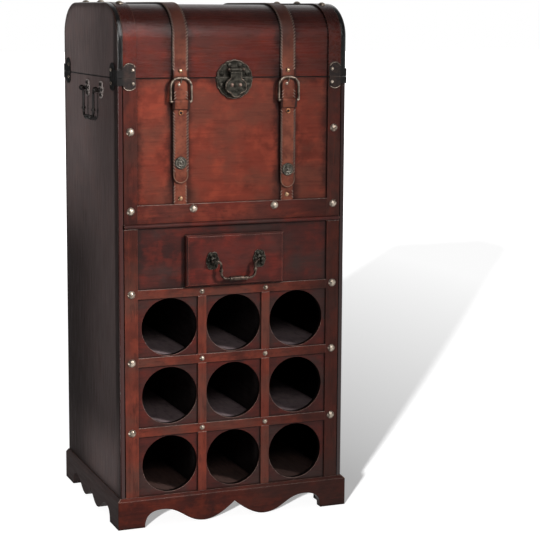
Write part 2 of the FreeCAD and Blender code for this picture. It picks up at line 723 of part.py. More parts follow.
def hinges():
    outer = ((-HINGE_HALF, -HINGE_OUTER_START), (HINGE_OUTER_START, HINGE_HALF))
    middle = ((-HINGE_MIDDLE_HALF, HINGE_MIDDLE_HALF),)
    return {
        "hinge_body_leaves": Part.makeCompound(both_sides(hinge_leaf(outer, -1))),
        "hinge_lid_leaves": Part.makeCompound(both_sides(hinge_leaf(middle, 1))),
        "hinge_pins": Part.makeCompound(both_sides(hinge_rod(HINGE_PIN, -HINGE_HALF, HINGE_HALF))),
    }


# Bail handles, made facing -Y about the middle of the posts and then set in place

def handle_post(side):
    """Rosette with a short neck and a round eye for the end of the bail."""
    u = side * POST_SPACING / 2
    outline = lobed_outline(*ROSETTE_HALF, ROSETTE_LOBES, ROSETTE_CUSP, V(u, 0, 0))
    rosette = plate(outline, V(0, -ROSETTE_THICK, 0))
    boss = dome(BOSS, V(u, -ROSETTE_THICK, 0), -Y_AXIS)
    neck = rod(POST_NECK, V(u, -ROSETTE_THICK, 0), V(u, -POST_STANDOFF, 0))
    ball = Part.makeSphere(POST_BALL, V(u, -POST_STANDOFF, 0))
    eye_ends = [V(u + reach, -POST_STANDOFF, 0) for reach in (-POST_BALL, POST_BALL)]
    eye = rod(BAIL_WIRE + RUNNING_GAP, *eye_ends)
    return rosette.fuse([boss, neck, ball]).cut(eye).removeSplitter()


def turned(profile, centre, along):
    """Turned swelling about a straight run of wire, from pairs of distance along it and radius."""
    reaches = [V(along).multiply(reach) for reach, _ in profile]
    edge = [centre.add(reach).sub(V(0, radius, 0)) for reach, (_, radius) in zip(reaches, profile)]
    axis = [centre.add(reaches[-1]), centre.add(reaches[0])]
    return polygon_face(edge + axis).revolve(centre, along, FULL_TURN)


def bail(size):
    """Hanging loop of wire with its ends in the eyes of the posts, a turned grip and a collar on each leg."""
    leg = size["leg"]
    drop = size["drop"]
    end = POST_SPACING / 2 + POST_BALL
    route = ((-end, 0), (-leg, 0), (-leg, -drop), (leg, -drop), (leg, 0), (end, 0))
    corners = [V(u, -POST_STANDOFF, z) for u, z in route]
    turns = (BAIL_TOP_TURN, BAIL_LOW_TURN, BAIL_LOW_TURN, BAIL_TOP_TURN)
    loop = wire_along(rounded_path(corners, turns), BAIL_WIRE)
    collar_z = BAIL_LOW_TURN + COLLAR_LIFT - drop
    swellings = [turned(COLLAR_PROFILE, V(u, -POST_STANDOFF, collar_z), Z_AXIS) for u in (-leg, leg)]
    swellings.append(turned(GRIP_PROFILE, V(0, -POST_STANDOFF, -drop), X_AXIS))
    return loop.fuse(swellings).removeSplitter()


def placed(shape, turn, place):
    copy = shape.copy()
    copy.rotate(ORIGIN, Z_AXIS, turn)
    copy.translate(place)
    return copy


def handles():
    posts = Part.makeCompound([handle_post(-1), handle_post(1)])
    drawer_place = V(0, DRAWER_FACE_Y, DRAWER_POST_Z)
    pieces = {
        "drawer_handle_posts": placed(posts, 0, drawer_place),
        "drawer_bail": placed(bail(DRAWER_BAIL), 0, drawer_place),
    }
    side_posts = []
    for name, side in (("left", -1), ("right", 1)):
        place = V(side * HALF_WIDTH, SIDE_POST_Y, SIDE_POST_Z)
        side_posts.append(placed(posts, side * QUARTER_TURN, place))
        pieces[f"{name}_bail"] = placed(bail(SIDE_BAIL), side * QUARTER_TURN, place)
    pieces["side_handle_posts"] = Part.makeCompound(side_posts)
    return pieces


# Drawer

def drawer():
    """Bevelled front on a grooved box that slides on two runners."""
    front = block((-DRAWER_HALF_WIDTH, DRAWER_HALF_WIDTH), (DRAWER_FACE_Y, DRAWER_BACK_Y), DRAWER_Z)
    face = min(front.Faces, key=lambda side: side.CenterOfMass.y)
    inner = DRAWER_BOX_HALF - DRAWER_WALL
    groove = inner + DRAWER_GROOVE
    box_end = DRAWER_BACK_Y + DRAWER_DEPTH
    bottom = block((-groove, groove), (DRAWER_BACK_Y, box_end - DRAWER_WALL), DRAWER_BOTTOM_Z)
    wall = block((inner, DRAWER_BOX_HALF), (DRAWER_BACK_Y, box_end), DRAWER_BOX_Z).cut(bottom)
    back = block((-inner, inner), (box_end - DRAWER_WALL, box_end), DRAWER_BOX_Z)
    return {
        "drawer_front": front.makeChamfer(DRAWER_BEVEL, face.Edges),
        "drawer_sides": Part.makeCompound(both_sides(wall)),
        "drawer_back": back,
        "drawer_bottom": bottom,
        "drawer_runners": Part.makeCompound(both_sides(drawer_runner(box_end))),
    }


def drawer_runner(end):
    """Right runner: a ledge under the drawer side with a guide beside it."""
    run = (FRONT_INNER_Y, end)
    outer = DRAWER_BOX_HALF + RUNNER_WALL
    ledge_z = (DRAWER_FLOOR_TOP, DRAWER_BOX_Z[0] - RUNNER_GAP)
    guide_z = (DRAWER_FLOOR_TOP, DRAWER_FLOOR_TOP + RUNNER_HEIGHT)
    ledge = block((DRAWER_BOX_HALF - RUNNER_LEDGE, outer), run, ledge_z)
    guide = block((DRAWER_BOX_HALF + RUNNER_GAP, outer), run, guide_z)
    return ledge.fuse(guide).removeSplitter()


# Dome nails

def nails():
    front = -Y_AXIS
    large = []
    for z in STILE_NAIL_Z:
        large += both_sides(dome(LARGE_NAIL, V(STILE_NAIL_X, STRIP_Y, z), front))
    large += both_sides(dome(LARGE_NAIL, V(TRUNK_RAIL_NAIL_X, STRIP_Y, TRUNK_RAIL_NAIL_Z), front))
    small = []
    for z in RACK_RAIL_Z:
        small += both_sides(dome(SMALL_NAIL, V(BATTEN_X, STRIP_Y, z), front))
    lid = []
    for y in LID_NAIL_Y:
        base, normal = lid_top_point(y)
        lid += both_sides(dome(LARGE_NAIL, base, normal))
    return {
        "large_dome_nails": Part.makeCompound(large),
        "small_dome_nails": Part.makeCompound(small),
        "lid_strip_nails": Part.makeCompound(lid),
    }


def lid_top_point(y):
    """Point and outward direction on the top of a lid strip at the given depth."""
    inset = FACE_SETBACK - STRIP_THICK
    depth = LID_CURVE_DEPTH - inset
    rise = LID_CURVE_RISE - inset
    flat_half = HALF_DEPTH - LID_CURVE_DEPTH
    past = math.copysign(max(0.0, abs(y) - flat_half), y)
    height = rise * math.sqrt(1 - (past / depth) ** 2)
    base = V(STILE_NAIL_X, y, LID_Z + LID_WALL + height)
    normal = V(0, past / depth ** 2, height / rise ** 2).normalize()
    return base, normal


def cabinet():
    """Every piece by name, with the middle of the whole footprint on the origin."""
    pieces = {}
    for build in (case_boards, rack_boards, front_strips, plinth, lid_boards, straps, latch, corner_plates,
                  hinges, handles, drawer, nails):
        pieces.update(build())
    extent = Part.makeCompound(list(pieces.values())).BoundBox
    for shape in pieces.values():
        shape.translate(V(0, -extent.Center.y, 0))
    return pieces


os.makedirs("parts", exist_ok=True)
for node, solid in cabinet().items():
    solid.exportStep(f"parts/{node}.step")
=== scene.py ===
import math

import bpy
from mathutils import Matrix, Vector, noise

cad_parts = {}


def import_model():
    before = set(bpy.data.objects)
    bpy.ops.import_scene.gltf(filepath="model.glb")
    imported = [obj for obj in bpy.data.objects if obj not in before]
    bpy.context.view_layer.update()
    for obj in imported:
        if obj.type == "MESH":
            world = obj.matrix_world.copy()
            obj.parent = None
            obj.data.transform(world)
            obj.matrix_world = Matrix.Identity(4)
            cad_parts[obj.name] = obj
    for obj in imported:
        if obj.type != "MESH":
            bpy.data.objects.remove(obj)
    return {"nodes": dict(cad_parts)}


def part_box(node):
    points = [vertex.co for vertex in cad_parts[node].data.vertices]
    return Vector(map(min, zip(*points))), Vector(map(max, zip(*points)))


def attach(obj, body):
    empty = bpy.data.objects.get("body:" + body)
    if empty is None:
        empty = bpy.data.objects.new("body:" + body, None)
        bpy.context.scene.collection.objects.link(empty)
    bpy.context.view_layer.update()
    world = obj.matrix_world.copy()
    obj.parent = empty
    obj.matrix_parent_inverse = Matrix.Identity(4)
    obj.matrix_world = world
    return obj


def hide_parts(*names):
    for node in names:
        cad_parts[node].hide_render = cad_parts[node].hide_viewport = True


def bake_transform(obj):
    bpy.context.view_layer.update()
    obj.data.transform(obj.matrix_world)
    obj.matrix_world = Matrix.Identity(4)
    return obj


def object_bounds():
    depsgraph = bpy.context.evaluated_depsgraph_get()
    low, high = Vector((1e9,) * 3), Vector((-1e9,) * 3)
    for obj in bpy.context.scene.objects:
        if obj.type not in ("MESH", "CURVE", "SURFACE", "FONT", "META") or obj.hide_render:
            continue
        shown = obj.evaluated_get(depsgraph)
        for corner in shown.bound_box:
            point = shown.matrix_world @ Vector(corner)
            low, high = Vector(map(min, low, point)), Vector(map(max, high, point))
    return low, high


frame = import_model()
cad_low, cad_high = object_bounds()

# Wine cabinet in the manner of an old travelling trunk: antique varnish, leather straps and dark hardware.
# Metres. X runs to the right as one faces the cabinet, the front looks along -Y, Z is up.

MM = 0.001
X_AXIS = Vector((1, 0, 0))
FRONT = Vector((0, -1, 0))
UP = Vector((0, 0, 1))

# Camera at the photograph's angle, for a square picture
CAMERA_PLACE = (-0.9837, -2.7806, 0.9085)
CAMERA_YAW = 21.9
CAMERA_PITCH = -8.31
CAMERA_ROLL = 0.34
CAMERA_LENS = 106.58
CAMERA_SHIFT_Y = -0.05

# Lamps, floor and surroundings
KEY_PLACE = (1.3, -2.0, 1.7)
KEY_TARGET = (-0.33, -0.18, 0.6)
KEY_BEAM = {"cone": 22, "tall": 3.6}
SUN_DIRECTION = Vector((0.594, 0.804, -0.26))
SUN_ANGLE = 2.5
SUN_POWER = 9.0
# What the lamp on the left reaches
LEFT_LIT = ("left_side_panel", "lid_left_end", "plinth_left", "left_bail", "side_handle_posts")
WHITE = (1.0, 1.0, 1.0, 1.0)
FLOOR_HALF = 30.0
# The floor's own glow: gain x distance ^ power - loss; the way to the front or back counts less
GLOW_STRETCH = (1, 0.25, 0)
GLOW_POWER = 0.35
GLOW_GAIN = 0.897
GLOW_LOSS = 0.234
GLOW_LIMITS = (0.35, 0.86)
FLOOR_TONES = (232, 238)
# Surroundings as they mirror: bright low down and dark above a slope, with a dark flag on the left
SKY_SLOPE = 0.45
SKY_FADE = (0.1, 0.5, 0.85, 0.15)
FLAG_FADE = (-0.3, 0.0, 0.12, 1.0)
AMBIENT = 0.12

# Places on the frame
STRAP_LOW, STRAP_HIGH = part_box("left_lid_strap")
STRAP_WIDTH = STRAP_HIGH.x - STRAP_LOW.x
STRAP_X = -(STRAP_LOW.x + STRAP_HIGH.x) / 2
FACE_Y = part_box("trunk_front")[0].y
SEAM_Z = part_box("trunk_front")[1].z
INNER_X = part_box("trunk_front")[1].x
CASE_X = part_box("right_side_panel")[1].x
LOWER_STRAP_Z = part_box("lower_straps")[0].z

# Lid outline
LID_WALL = 70 * MM
LID_SHOULDER_DEPTH = 77.5 * MM

# Straps
STRAP_THICK = 2.5 * MM
STRAP_STEP = 4 * MM
BEND_STEP = 1.2 * MM
HANG_TOP_Z = SEAM_Z + 21 * MM
HANG_LOW_Z = SEAM_Z + 5 * MM
BEND_Z = (SEAM_Z + 6.5 * MM, SEAM_Z + 1.5 * MM)
# The bend's line leans to the front, so the strap's far end behind the lid isn't part of it
# Straps waver sideways: how far, how quickly along their way, and how unlike each other
STRAP_SWAY = 0.5 * MM
SWAY_PACE = 14
SWAY_APART = 50
LOWER_THICK = 0.97 * STRAP_THICK
LOWER_STITCH_THICK = 0.8 * STRAP_THICK
TONGUE_HALF = 13 * MM
TONGUE_THICK = 2 * MM
TONGUE_STEP = 3.8 * MM
TONGUE_Z = (SEAM_Z - 51 * MM, SEAM_Z - 4 * MM)
KEEPER_HALF = 15.5 * MM
KEEPER_Z = (SEAM_Z - 53 * MM, SEAM_Z - 36.5 * MM)
# Way down the fold in shares and its height over the strap
FOLD_PROFILE = (
    (0.0, 0.0), (0.02, 3.4 * MM), (0.1, 5.0 * MM), (0.22, 5.6 * MM), (0.38, 5.0 * MM),
    (0.6, 3.9 * MM), (0.96, 3.6 * MM), (1.0, 3.2 * MM), (1.0, 0.0),
)
# Way across the fold and its height there, in shares
FOLD_ACROSS = ((-1, 0.9), (-0.95, 1), (0, 1.03), (0.95, 1), (1, 0.9))
TAB_BORDER = 0.7 * MM
TAB_BORDER_INSET = 1.6 * MM
TAB_BORDER_RISE = 10 * MM
PRONG_RADIUS = 1.0 * MM
PRONG_SWELL = 0.6 * MM
# Ends of the prong: before the buckle and below its top, before the tongue and below its tip
PRONG_TOP = (0.6 * MM, 1.5 * MM)
PRONG_FOOT = (0.2 * MM, 4 * MM)

# Stitches: each goes through points given as shares of reach, strap thickness and lean
STITCH_STEP = 5.2 * MM
STITCH_RADIUS = 0.75 * MM
STITCH_LEAN = 2.3 * MM
STITCH_REACH = 4.6 * MM
STITCH_POINTS = ((-0.06, 0.7, -0.9), (-0.16, 1.08, -0.65), (-0.5, 1.16, 0.1), (-1.0, 0.9, 0.9))

# Small fasteners: radius and height
STRAP_NAIL = (4.2 * MM, 2.3 * MM)
TONGUE_NAIL = (2.6 * MM, 1.3 * MM)
PLATE_NAIL = (3.1 * MM, 2.3 * MM)
SCREW_HEAD = (3.2 * MM, 1.2 * MM)
EYELET = (
    (4.8 * MM, -0.3 * MM), (4.8 * MM, 0.2 * MM), (4.3 * MM, 1.1 * MM), (3.3 * MM, 1.5 * MM),
    (2.4 * MM, 1.1 * MM), (2.2 * MM, 0.2 * MM), (2.2 * MM, -0.3 * MM),
)
# Dark disc in the eyelet, painted shade for its hole: radius and height
EYELET_SHADE_DISC = ((2.4 * MM, 0.0), (2.4 * MM, 0.3 * MM), (1.2 * MM, 0.3 * MM))
STRAP_NAIL_Z = SEAM_Z + 12 * MM
TONGUE_NAIL_Z = SEAM_Z - 11 * MM
TONGUE_NAIL_DRIFT = 3.5 * MM
EYELET_Z = SEAM_Z - 59.5 * MM
LOWER_NAIL_Z = LOWER_STRAP_Z + 10 * MM
PLATE_NAIL_X = CASE_X - 27 * MM
PLATE_NAIL_INSET = 36 * MM
PLATE_NAIL_Z = {"lid": SEAM_Z + 14 * MM, "body": SEAM_Z - 9 * MM}
HINGE_HALF = 22 * MM
HINGE_LEAF_THICK = 1.5 * MM
SCREW_PLACES = ((-14 * MM, 9 * MM), (14 * MM, 9 * MM), (0, 19 * MM))
# Nail heads: rim height, how far it sinks in, and the dome's width, in shares
DOME_RIM = 0.12
DOME_SUNK = 0.1
DOME_WIDTH = 0.97
DOME_ANGLES = (90, 72, 52, 32, 14)

# Relief on the hardware; a leaf is its half length, half width and height
PLATE_BEAD = 0.8 * MM
CORNER_BEAD = 0.7 * MM
BEAD_INSET = 1.4
CORNER_SHOULDER = 0.72
SEAM_CLEAR = 2.5 * MM
HASP_CLEAR = 4 * MM
LATCH_LEAF = (5 * MM, 4.6 * MM, 1.3 * MM)
LATCH_LEAVES = 8
LATCH_LEAF_RING = 0.76
ROSETTE_LEAF = (4.2 * MM, 3.1 * MM, 1.6 * MM)
ROSETTE_LEAVES = 6
ROSETTE_REACH = (7.6 * MM, 10.5 * MM)
ROSETTE_PLATE = 2 * MM
POST_INSET = 12 * MM
LEAF_ANGLES = (90, 65, 40, 15)
SHARP_ANGLE = math.radians(38)
# Corners closer than this are one, and smaller outlines get no bead
CORNER_GRAIN = 0.01 * MM
LEAST_CORNERS = 13


def srgb(red, green, blue):
    """Colour written as it looks on a screen, 0 to 255."""
    return tuple((c / 255) ** 2.2 for c in (red, green, blue)) + (1.0,)


def palette(**tones):
    """Colours of one material by name."""
    return {name: srgb(*tone) for name, tone in tones.items()}


# Materials

class Wiring:
    """Short ways to add nodes to one tree and to link them."""

    def __init__(self, tree):
        self.tree = tree

    def node(self, kind, inputs=(), **settings):
        made = self.tree.nodes.new(kind)
        for key, value in settings.items():
            setattr(made, key, value)
        for key, value in dict(inputs).items():
            self.feed(made.inputs[key], value)
        return made

    def feed(self, socket, value):
        if isinstance(value, bpy.types.NodeSocket):
            self.tree.links.new(value, socket)
        else:
            socket.default_value = value

    def math(self, operation, first, second=0.0):
        return self.node("ShaderNodeMath", {0: first, 1: second}, operation=operation).outputs[0]

    def vector(self, operation, *values):
        """Outputs of a sum with vectors."""
        return self.node("ShaderNodeVectorMath", dict(enumerate(values)), operation=operation).outputs

    def apart(self, value, place):
        """Distance of a value from a place, on either side."""
        return self.math("ABSOLUTE", self.math("SUBTRACT", value, place))

    def remap(self, value, low, high, to_low=0.0, to_high=1.0):
        settings = {0: value, 1: low, 2: high, 3: to_low, 4: to_high}
        return self.node("ShaderNodeMapRange", settings, interpolation_type="SMOOTHSTEP").outputs[0]

    def seen_rays(self):
        """1 for rays from the camera, mirrors and glass."""
        path = self.node("ShaderNodeLightPath").outputs
        direct = self.math("MAXIMUM", path["Is Camera Ray"], path["Is Glossy Ray"])
        return self.math("MAXIMUM", direct, path["Is Transmission Ray"])


class Finish(Wiring):
    """A procedural material in the coordinates of the piece that wears it."""

    def __init__(self, name):
        self.material = bpy.data.materials.new(name)
        self.material.use_nodes = True
        super().__init__(self.material.node_tree)
        self.shader = self.tree.nodes["Principled BSDF"]
        self.place = self.node("ShaderNodeTexCoord").outputs["Object"]

    def set(self, **values):
        """Feed the shader's sockets, named with underscores for spaces."""
        for key, value in values.items():
            self.feed(self.shader.inputs[key.replace("_", " ")], value)

    def noise(self, scale, detail=4.0, roughness=0.5, stretch=(1, 1, 1)):
        place = self.vector("MULTIPLY", self.place, stretch)[0]
        settings = {"Vector": place, "Scale": scale, "Detail": detail, "Roughness": roughness}
        return self.node("ShaderNodeTexNoise", settings).outputs[0]

    def mix(self, first, second, factor):
        return self.node("ShaderNodeMix", {0: factor, 6: first, 7: second}, data_type="RGBA").outputs[2]

    def layers(self, colour, laid):
        """A colour with others laid over it in turn, each by its mask."""
        for other, mask in laid:
            colour = self.mix(colour, other, mask)
        return colour

    def axes(self):
        return self.node("ShaderNodeSeparateXYZ", {0: self.place}).outputs

    def across(self):
        """Distance sideways from the middle of the cabinet."""
        return self.math("ABSOLUTE", self.axes()["X"])

    def rounded(self, radius):
        """Normal with the sharp edges rounded off."""
        return self.node("ShaderNodeBevel", {"Radius": radius}, samples=4).outputs[0]

    def normal(self, kind="Normal"):
        return self.node("ShaderNodeNewGeometry").outputs[kind]

    def dot(self, first, second):
        return self.vector("DOT_PRODUCT", first, second)["Value"]

    def own(self, normal):
        """A normal in the piece's own frame, which turns with it."""
        settings = {"vector_type": "NORMAL", "convert_from": "WORLD", "convert_to": "OBJECT"}
        return self.node("ShaderNodeVectorTransform", {0: normal}, **settings).outputs[0]

    def edges(self, radius, low=0.03, high=0.25):
        """Mask of the sharp edges, for wear."""
        turned = self.math("SUBTRACT", 1.0, self.dot(self.rounded(radius), self.normal()))
        return self.remap(turned, low, high)

    def grime(self, reach, strength):
        """Mask of corners and of what lies close beside anything that stands proud: grime and painted shade.
        """
        open_air = self.node("ShaderNodeAmbientOcclusion", {"Distance": reach}, samples=6).outputs["AO"]
        return self.math("MULTIPLY", self.remap(open_air, 0.45, 0.98, 1.0, 0.0), strength)

    def bump(self, height, distance, normal):
        settings = {"Height": height, "Distance": distance, "Normal": normal, "Strength": 1.0}
        return self.node("ShaderNodeBump", settings).outputs[0]


# Stained wood

# Noises: scale, detail and roughness
CLOUD = (9.0, 3.0, 0.55)
PATCH = (34.0, 4.0, 0.6)
STREAK = (1.0, 5.0, 0.62)
PORES = (5.0, 2.0, 0.5)
HAZE = (6.5, 4.0, 0.6)
FLECKS = (1.0, 5.0, 0.7)
# Stretch of the noises along one axis
ALONG_X = (16, 240, 240)
ALONG_Y = (240, 16, 240)
ALONG_Z = (240, 240, 16)
HAZE_STRETCH = (1, 1, 1.4)
# Flecks follow the grain, but are less drawn out
FLECK_EVEN = 30
FLECK_PULL = 0.3

SHEEN = 0.2
SATIN = 0.34
EDGE_SHINE = 0.6
EDGE_GLOSS = 0.16
GLOSS_SPREAD = 0.16
GRAIN_DEPTH = 0.35 * MM
BORDER_WAVE = 6 * MM
BORDER_FADE = (-4 * MM, 16 * MM)
WOOD_GRIME_SHADE = (9 * MM, 0.85)
SEAM_DIRT_SHADE_FADE = (0.6 * MM, 1.8 * MM)
SEAM_WEAR_FADE = (2 * MM, 5 * MM)
WEAR_REACH = 1.1 * MM
UPWARD_SOFT = 1.5 * MM
EDGE_SOFT = 0.9 * MM
BEVEL_SOFT = 2.4 * MM
ARCH_SOFT = 5 * MM
SIDE_FLECK = 0.08
INNER_COLOUR = srgb(24, 20, 19)
SEAM_DIRT_SHADE = srgb(14, 9, 8)


def stain(finish, colours, grain, wash, fleck):
    """Cloudy colour with haze, streaks and flecks, and the noises of its patches and streaks."""
    cloud = finish.noise(*CLOUD)
    patch = finish.noise(*PATCH)
    streak = finish.noise(*STREAK, grain)
    haze = finish.noise(*HAZE, HAZE_STRETCH)
    flecks = finish.noise(*FLECKS, [FLECK_EVEN + FLECK_PULL * pull for pull in grain])
    colour = finish.layers(colours["dark"], (
        (colours["mid"], finish.remap(cloud, 0.28, 0.52)),
        (colours["light"], finish.remap(patch, 0.44, 0.66, 0.0, 0.6)),
        (colours["umber"], finish.remap(haze, 0.44, 0.6, 0.0, wash)),
        (colours["dark"], finish.remap(streak, 0.5, 0.7, 0.0, 0.45)),
        (colours["light"], finish.remap(streak, 0.42, 0.3, 0.0, 0.35)),
        (colours["border"], finish.remap(flecks, 0.5, 0.66, 0.0, fleck)),
        (colours["light"], finish.remap(flecks, 0.46, 0.34, 0.0, 0.6 * fleck)),
    ))
    return colour, patch, streak


def wear(finish, colours, patch, off_seam, edge_wear, soft):
    """Colour of the worn edges, paler and stronger where they look up as a painted highlight, and the mask of
    where they show.
    """
    # Edges that look up are paler and stronger: a painted highlight over the wear
    upward_highlight = finish.remap(finish.dot(finish.own(finish.rounded(UPWARD_SOFT)), UP), 0.0, 0.3)
    shown = finish.edges(WEAR_REACH + 0.5 * soft)
    breaks = finish.remap(patch, 0.3, 0.52, 0.45, 1.0)
    strength = finish.remap(upward_highlight, 0.0, 1.0, edge_wear, 1.0)
    for mask in (breaks, strength, finish.remap(off_seam, *SEAM_WEAR_FADE)):
        shown = finish.math("MULTIPLY", shown, mask)
    return finish.mix(colours["rub"], colours["worn"], upward_highlight), shown


def wood(
    name, colours, grain, gloss, shine=SHEEN, border=None, inside=None, shade=None,
    edge_wear=0.3, wash=0.7, soft=EDGE_SOFT, fleck=0.34,
):
    """Stained wood: cloudy colour, grain along one axis, dark borders, worn edges, satin varnish; painted
    shade in corners and a painted highlight on edges that look up.
    """
    finish = Finish(name)
    colour, patch, streak = stain(finish, colours, grain, wash, fleck)
    if border is not None:
        wavy = finish.math("ADD", border(finish), finish.remap(patch, 0.3, 0.7, -BORDER_WAVE, BORDER_WAVE))
        colour = finish.mix(colours["border"], colour, finish.remap(wavy, *BORDER_FADE, 0.2, 1.0))
    if shade is not None:
        colour = finish.mix(colour, colours["border"], shade(finish))
    gloss = finish.remap(streak, 0.3, 0.75, gloss, gloss + GLOSS_SPREAD)
    if "edge" in colours:
        edge = panel_edges(finish)
        colour = finish.mix(colour, colours["edge"], edge)
        shine = finish.remap(edge, 0.0, 1.0, shine, EDGE_SHINE)
        gloss = finish.remap(edge, 0.0, 1.0, gloss, EDGE_GLOSS)
    off_seam = finish.apart(finish.axes()["Z"], SEAM_Z)
    colour = finish.layers(colour, (
        # Dirt and painted shade in corners and beside raised parts
        (colours["border"], finish.grime(*WOOD_GRIME_SHADE)),
        # Dirt and a painted shadow along the seam
        (SEAM_DIRT_SHADE, finish.remap(off_seam, *SEAM_DIRT_SHADE_FADE, 0.95, 0.0)),
        wear(finish, colours, patch, off_seam, edge_wear, soft),
    ))
    if inside is not None:
        colour = finish.mix(colour, INNER_COLOUR, inside(finish))
    pores = finish.noise(*PORES, grain)
    relief = finish.math("ADD", finish.math("MULTIPLY", streak, 0.7), finish.math("MULTIPLY", pores, 0.3))
    finish.set(
        Base_Color=colour,
        Roughness=gloss,
        Normal=finish.bump(relief, GRAIN_DEPTH, finish.rounded(soft)),
        Specular_IOR_Level=shine,
    )
    return finish.material


# In each palette rub colours the worn edges, and worn those that look up, partly a painted highlight
RED = palette(
    dark=(92, 43, 34), mid=(126, 57, 44), light=(155, 71, 53), umber=(101, 62, 51),
    border=(42, 24, 22), rub=(150, 78, 58), worn=(176, 136, 118),
)
LID_RED = palette(
    dark=(70, 30, 25), mid=(98, 39, 31), light=(120, 49, 37), umber=(78, 43, 36),
    border=(34, 20, 18), rub=(84, 42, 34), worn=(120, 84, 72),
)
MAROON = palette(
    dark=(56, 34, 32), mid=(80, 42, 38), light=(108, 46, 38), umber=(66, 51, 48),
    border=(46, 34, 32), rub=(150, 80, 64), worn=(186, 156, 144),
)
# The drawer's bright rub is wear and a painted highlight on its bevelled edges
DRAWER_RED = palette(
    dark=(70, 36, 33), mid=(96, 43, 38), light=(124, 50, 41), umber=(80, 53, 49),
    border=(60, 37, 34), rub=(222, 124, 104), worn=(206, 172, 158),
)
STRIP = palette(
    dark=(74, 39, 33), mid=(107, 54, 44), light=(137, 65, 50), umber=(90, 62, 54),
    border=(38, 24, 22), rub=(142, 80, 64), worn=(206, 184, 172),
)
BOTTOM_RAIL = STRIP | palette(dark=(66, 33, 28), mid=(104, 47, 39), umber=(82, 49, 43))
BATTEN = STRIP | palette(dark=(84, 43, 36), mid=(118, 58, 47), umber=(98, 66, 57))
TRUNK_STRIP = palette(
    dark=(54, 29, 26), mid=(80, 41, 35), light=(110, 50, 39), umber=(70, 47, 41),
    border=(32, 20, 18), rub=(130, 78, 64), worn=(182, 152, 138),
)
ESPRESSO = palette(
    dark=(82, 72, 71), mid=(92, 80, 79), light=(98, 81, 78), umber=(85, 75, 74),
    border=(29, 21, 20), rub=(112, 58, 47), worn=(120, 84, 72),
)
SIDE_PANEL = ESPRESSO | palette(rub=(132, 92, 78), edge=(52, 24, 21))
# The lid ends' pale rub is wear and a painted highlight along the rim
LID_END = ESPRESSO | palette(rub=(168, 160, 154), edge=(10, 8, 8))
PLINTH_RED = palette(
    dark=(52, 25, 21), mid=(78, 34, 26), light=(106, 46, 32), umber=(60, 38, 33),
    border=(38, 23, 21), rub=(112, 58, 45), worn=(226, 198, 184),
)
BLACK_STAIN = palette(
    dark=(42, 37, 37), mid=(54, 48, 48), light=(66, 59, 58), umber=(48, 43, 43),
    border=(22, 19, 19), rub=(52, 44, 40), worn=(62, 52, 47),
)
SHELF_GREY = palette(
    dark=(142, 124, 127), mid=(166, 146, 149), light=(180, 158, 158), umber=(152, 133, 135),
    border=(50, 42, 42), rub=(124, 104, 98), worn=(128, 112, 106),
)
FLOOR_BROWN = palette(
    dark=(80, 62, 58), mid=(94, 73, 68), light=(106, 80, 73), umber=(86, 69, 65),
    border=(38, 29, 27), rub=(100, 78, 72), worn=(110, 90, 82),
)


# Where the woods darken

# How far to the left the dark band along the straps is moved: a painted shadow
SHADOW_DRIFT = 2.5 * MM
# Painted shade on the sides, with black edges and a black band at the front
SIDE_DEPTH = (-120 * MM, 140 * MM)
SIDE_Z = (420 * MM, 680 * MM)
FOOT_Z = (85 * MM, 190 * MM)
FOOT_DEPTH = (-60 * MM, 120 * MM)
BLACK_EDGE = 24 * MM
BLACK_EDGE_SEAM = (5 * MM, 30 * MM)
FRONT_BAND_Y = (FACE_Y + 14 * MM, FACE_Y + 38 * MM)
FRONT_BAND_Z = (90 * MM, 250 * MM)
EVEN_STAIN = 0.55


def border_distance(finish, low, high):
    """Distance inside a rectangle on the front, from its nearest side."""
    x, _, z = finish.axes()
    sides = []
    for value, start, end in ((x, low.x, high.x), (z, low.z, high.z)):
        off_centre = finish.apart(value, (start + end) / 2)
        sides.append(finish.math("SUBTRACT", (end - start) / 2, off_centre))
    return finish.math("MINIMUM", *sides)


def strap_distance(finish, drift=0.0):
    """Distance sideways from the nearer strap's edge, or from a line beside it."""
    x = finish.axes()["X"]
    off_straps = [finish.math("ABSOLUTE", finish.math("ADD", x, drift + side * STRAP_X)) for side in (-1, 1)]
    return finish.math("SUBTRACT", finish.math("MINIMUM", *off_straps), 0.5 * STRAP_WIDTH)


def strap_dirt_and_shadow(finish):
    """Distance from the dirt along the straps and from a painted shadow on their left."""
    return strap_distance(finish, SHADOW_DRIFT)


def panel_border(node, straps=False):
    """Border distance of one panel as it shows between the stiles, with or without the straps."""
    low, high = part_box(node)
    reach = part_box("trunk_bottom_rail")[1].x
    low.x = max(low.x, -reach)
    high.x = min(high.x, reach)

    def distance(finish):
        border = border_distance(finish, low, high)
        return finish.math("MINIMUM", border, strap_dirt_and_shadow(finish)) if straps else border

    return distance


def behind_face(finish):
    """1 on what lies behind the front face."""
    return finish.remap(finish.axes()["Y"], FACE_Y + 1 * MM, FACE_Y + 3 * MM)


def within_sides(finish):
    """1 on what looks into the case between the side panels."""
    return finish.remap(finish.across(), INNER_X + 0.2 * MM, INNER_X + 0.8 * MM, 1.0, 0.0)


def under_lid(finish):
    """1 on faces that look towards the middle of the lid."""
    middle = (0.0, (cad_low.y + cad_high.y) / 2, SEAM_Z)
    outward = finish.vector("SUBTRACT", finish.place, middle)[0]
    return finish.math("LESS_THAN", finish.dot(finish.own(finish.normal("True Normal")), outward), 0.0)


def fade(axis, start, end, strength):
    """Darkening that grows along one axis."""
    def shade(finish):
        return finish.remap(finish.axes()[axis], start, end, 0.0, strength)

    return shade


# Painted shade towards the top of the arch and the right-hand end of the strips; darker beside the drawer
lid_shade = fade("Z", SEAM_Z + 67 * MM, SEAM_Z + 102 * MM, 0.8)
right_shade = fade("X", 60 * MM, 195 * MM, 0.6)
drawer_shade = fade("Z", 400 * MM, 450 * MM, 0.4)


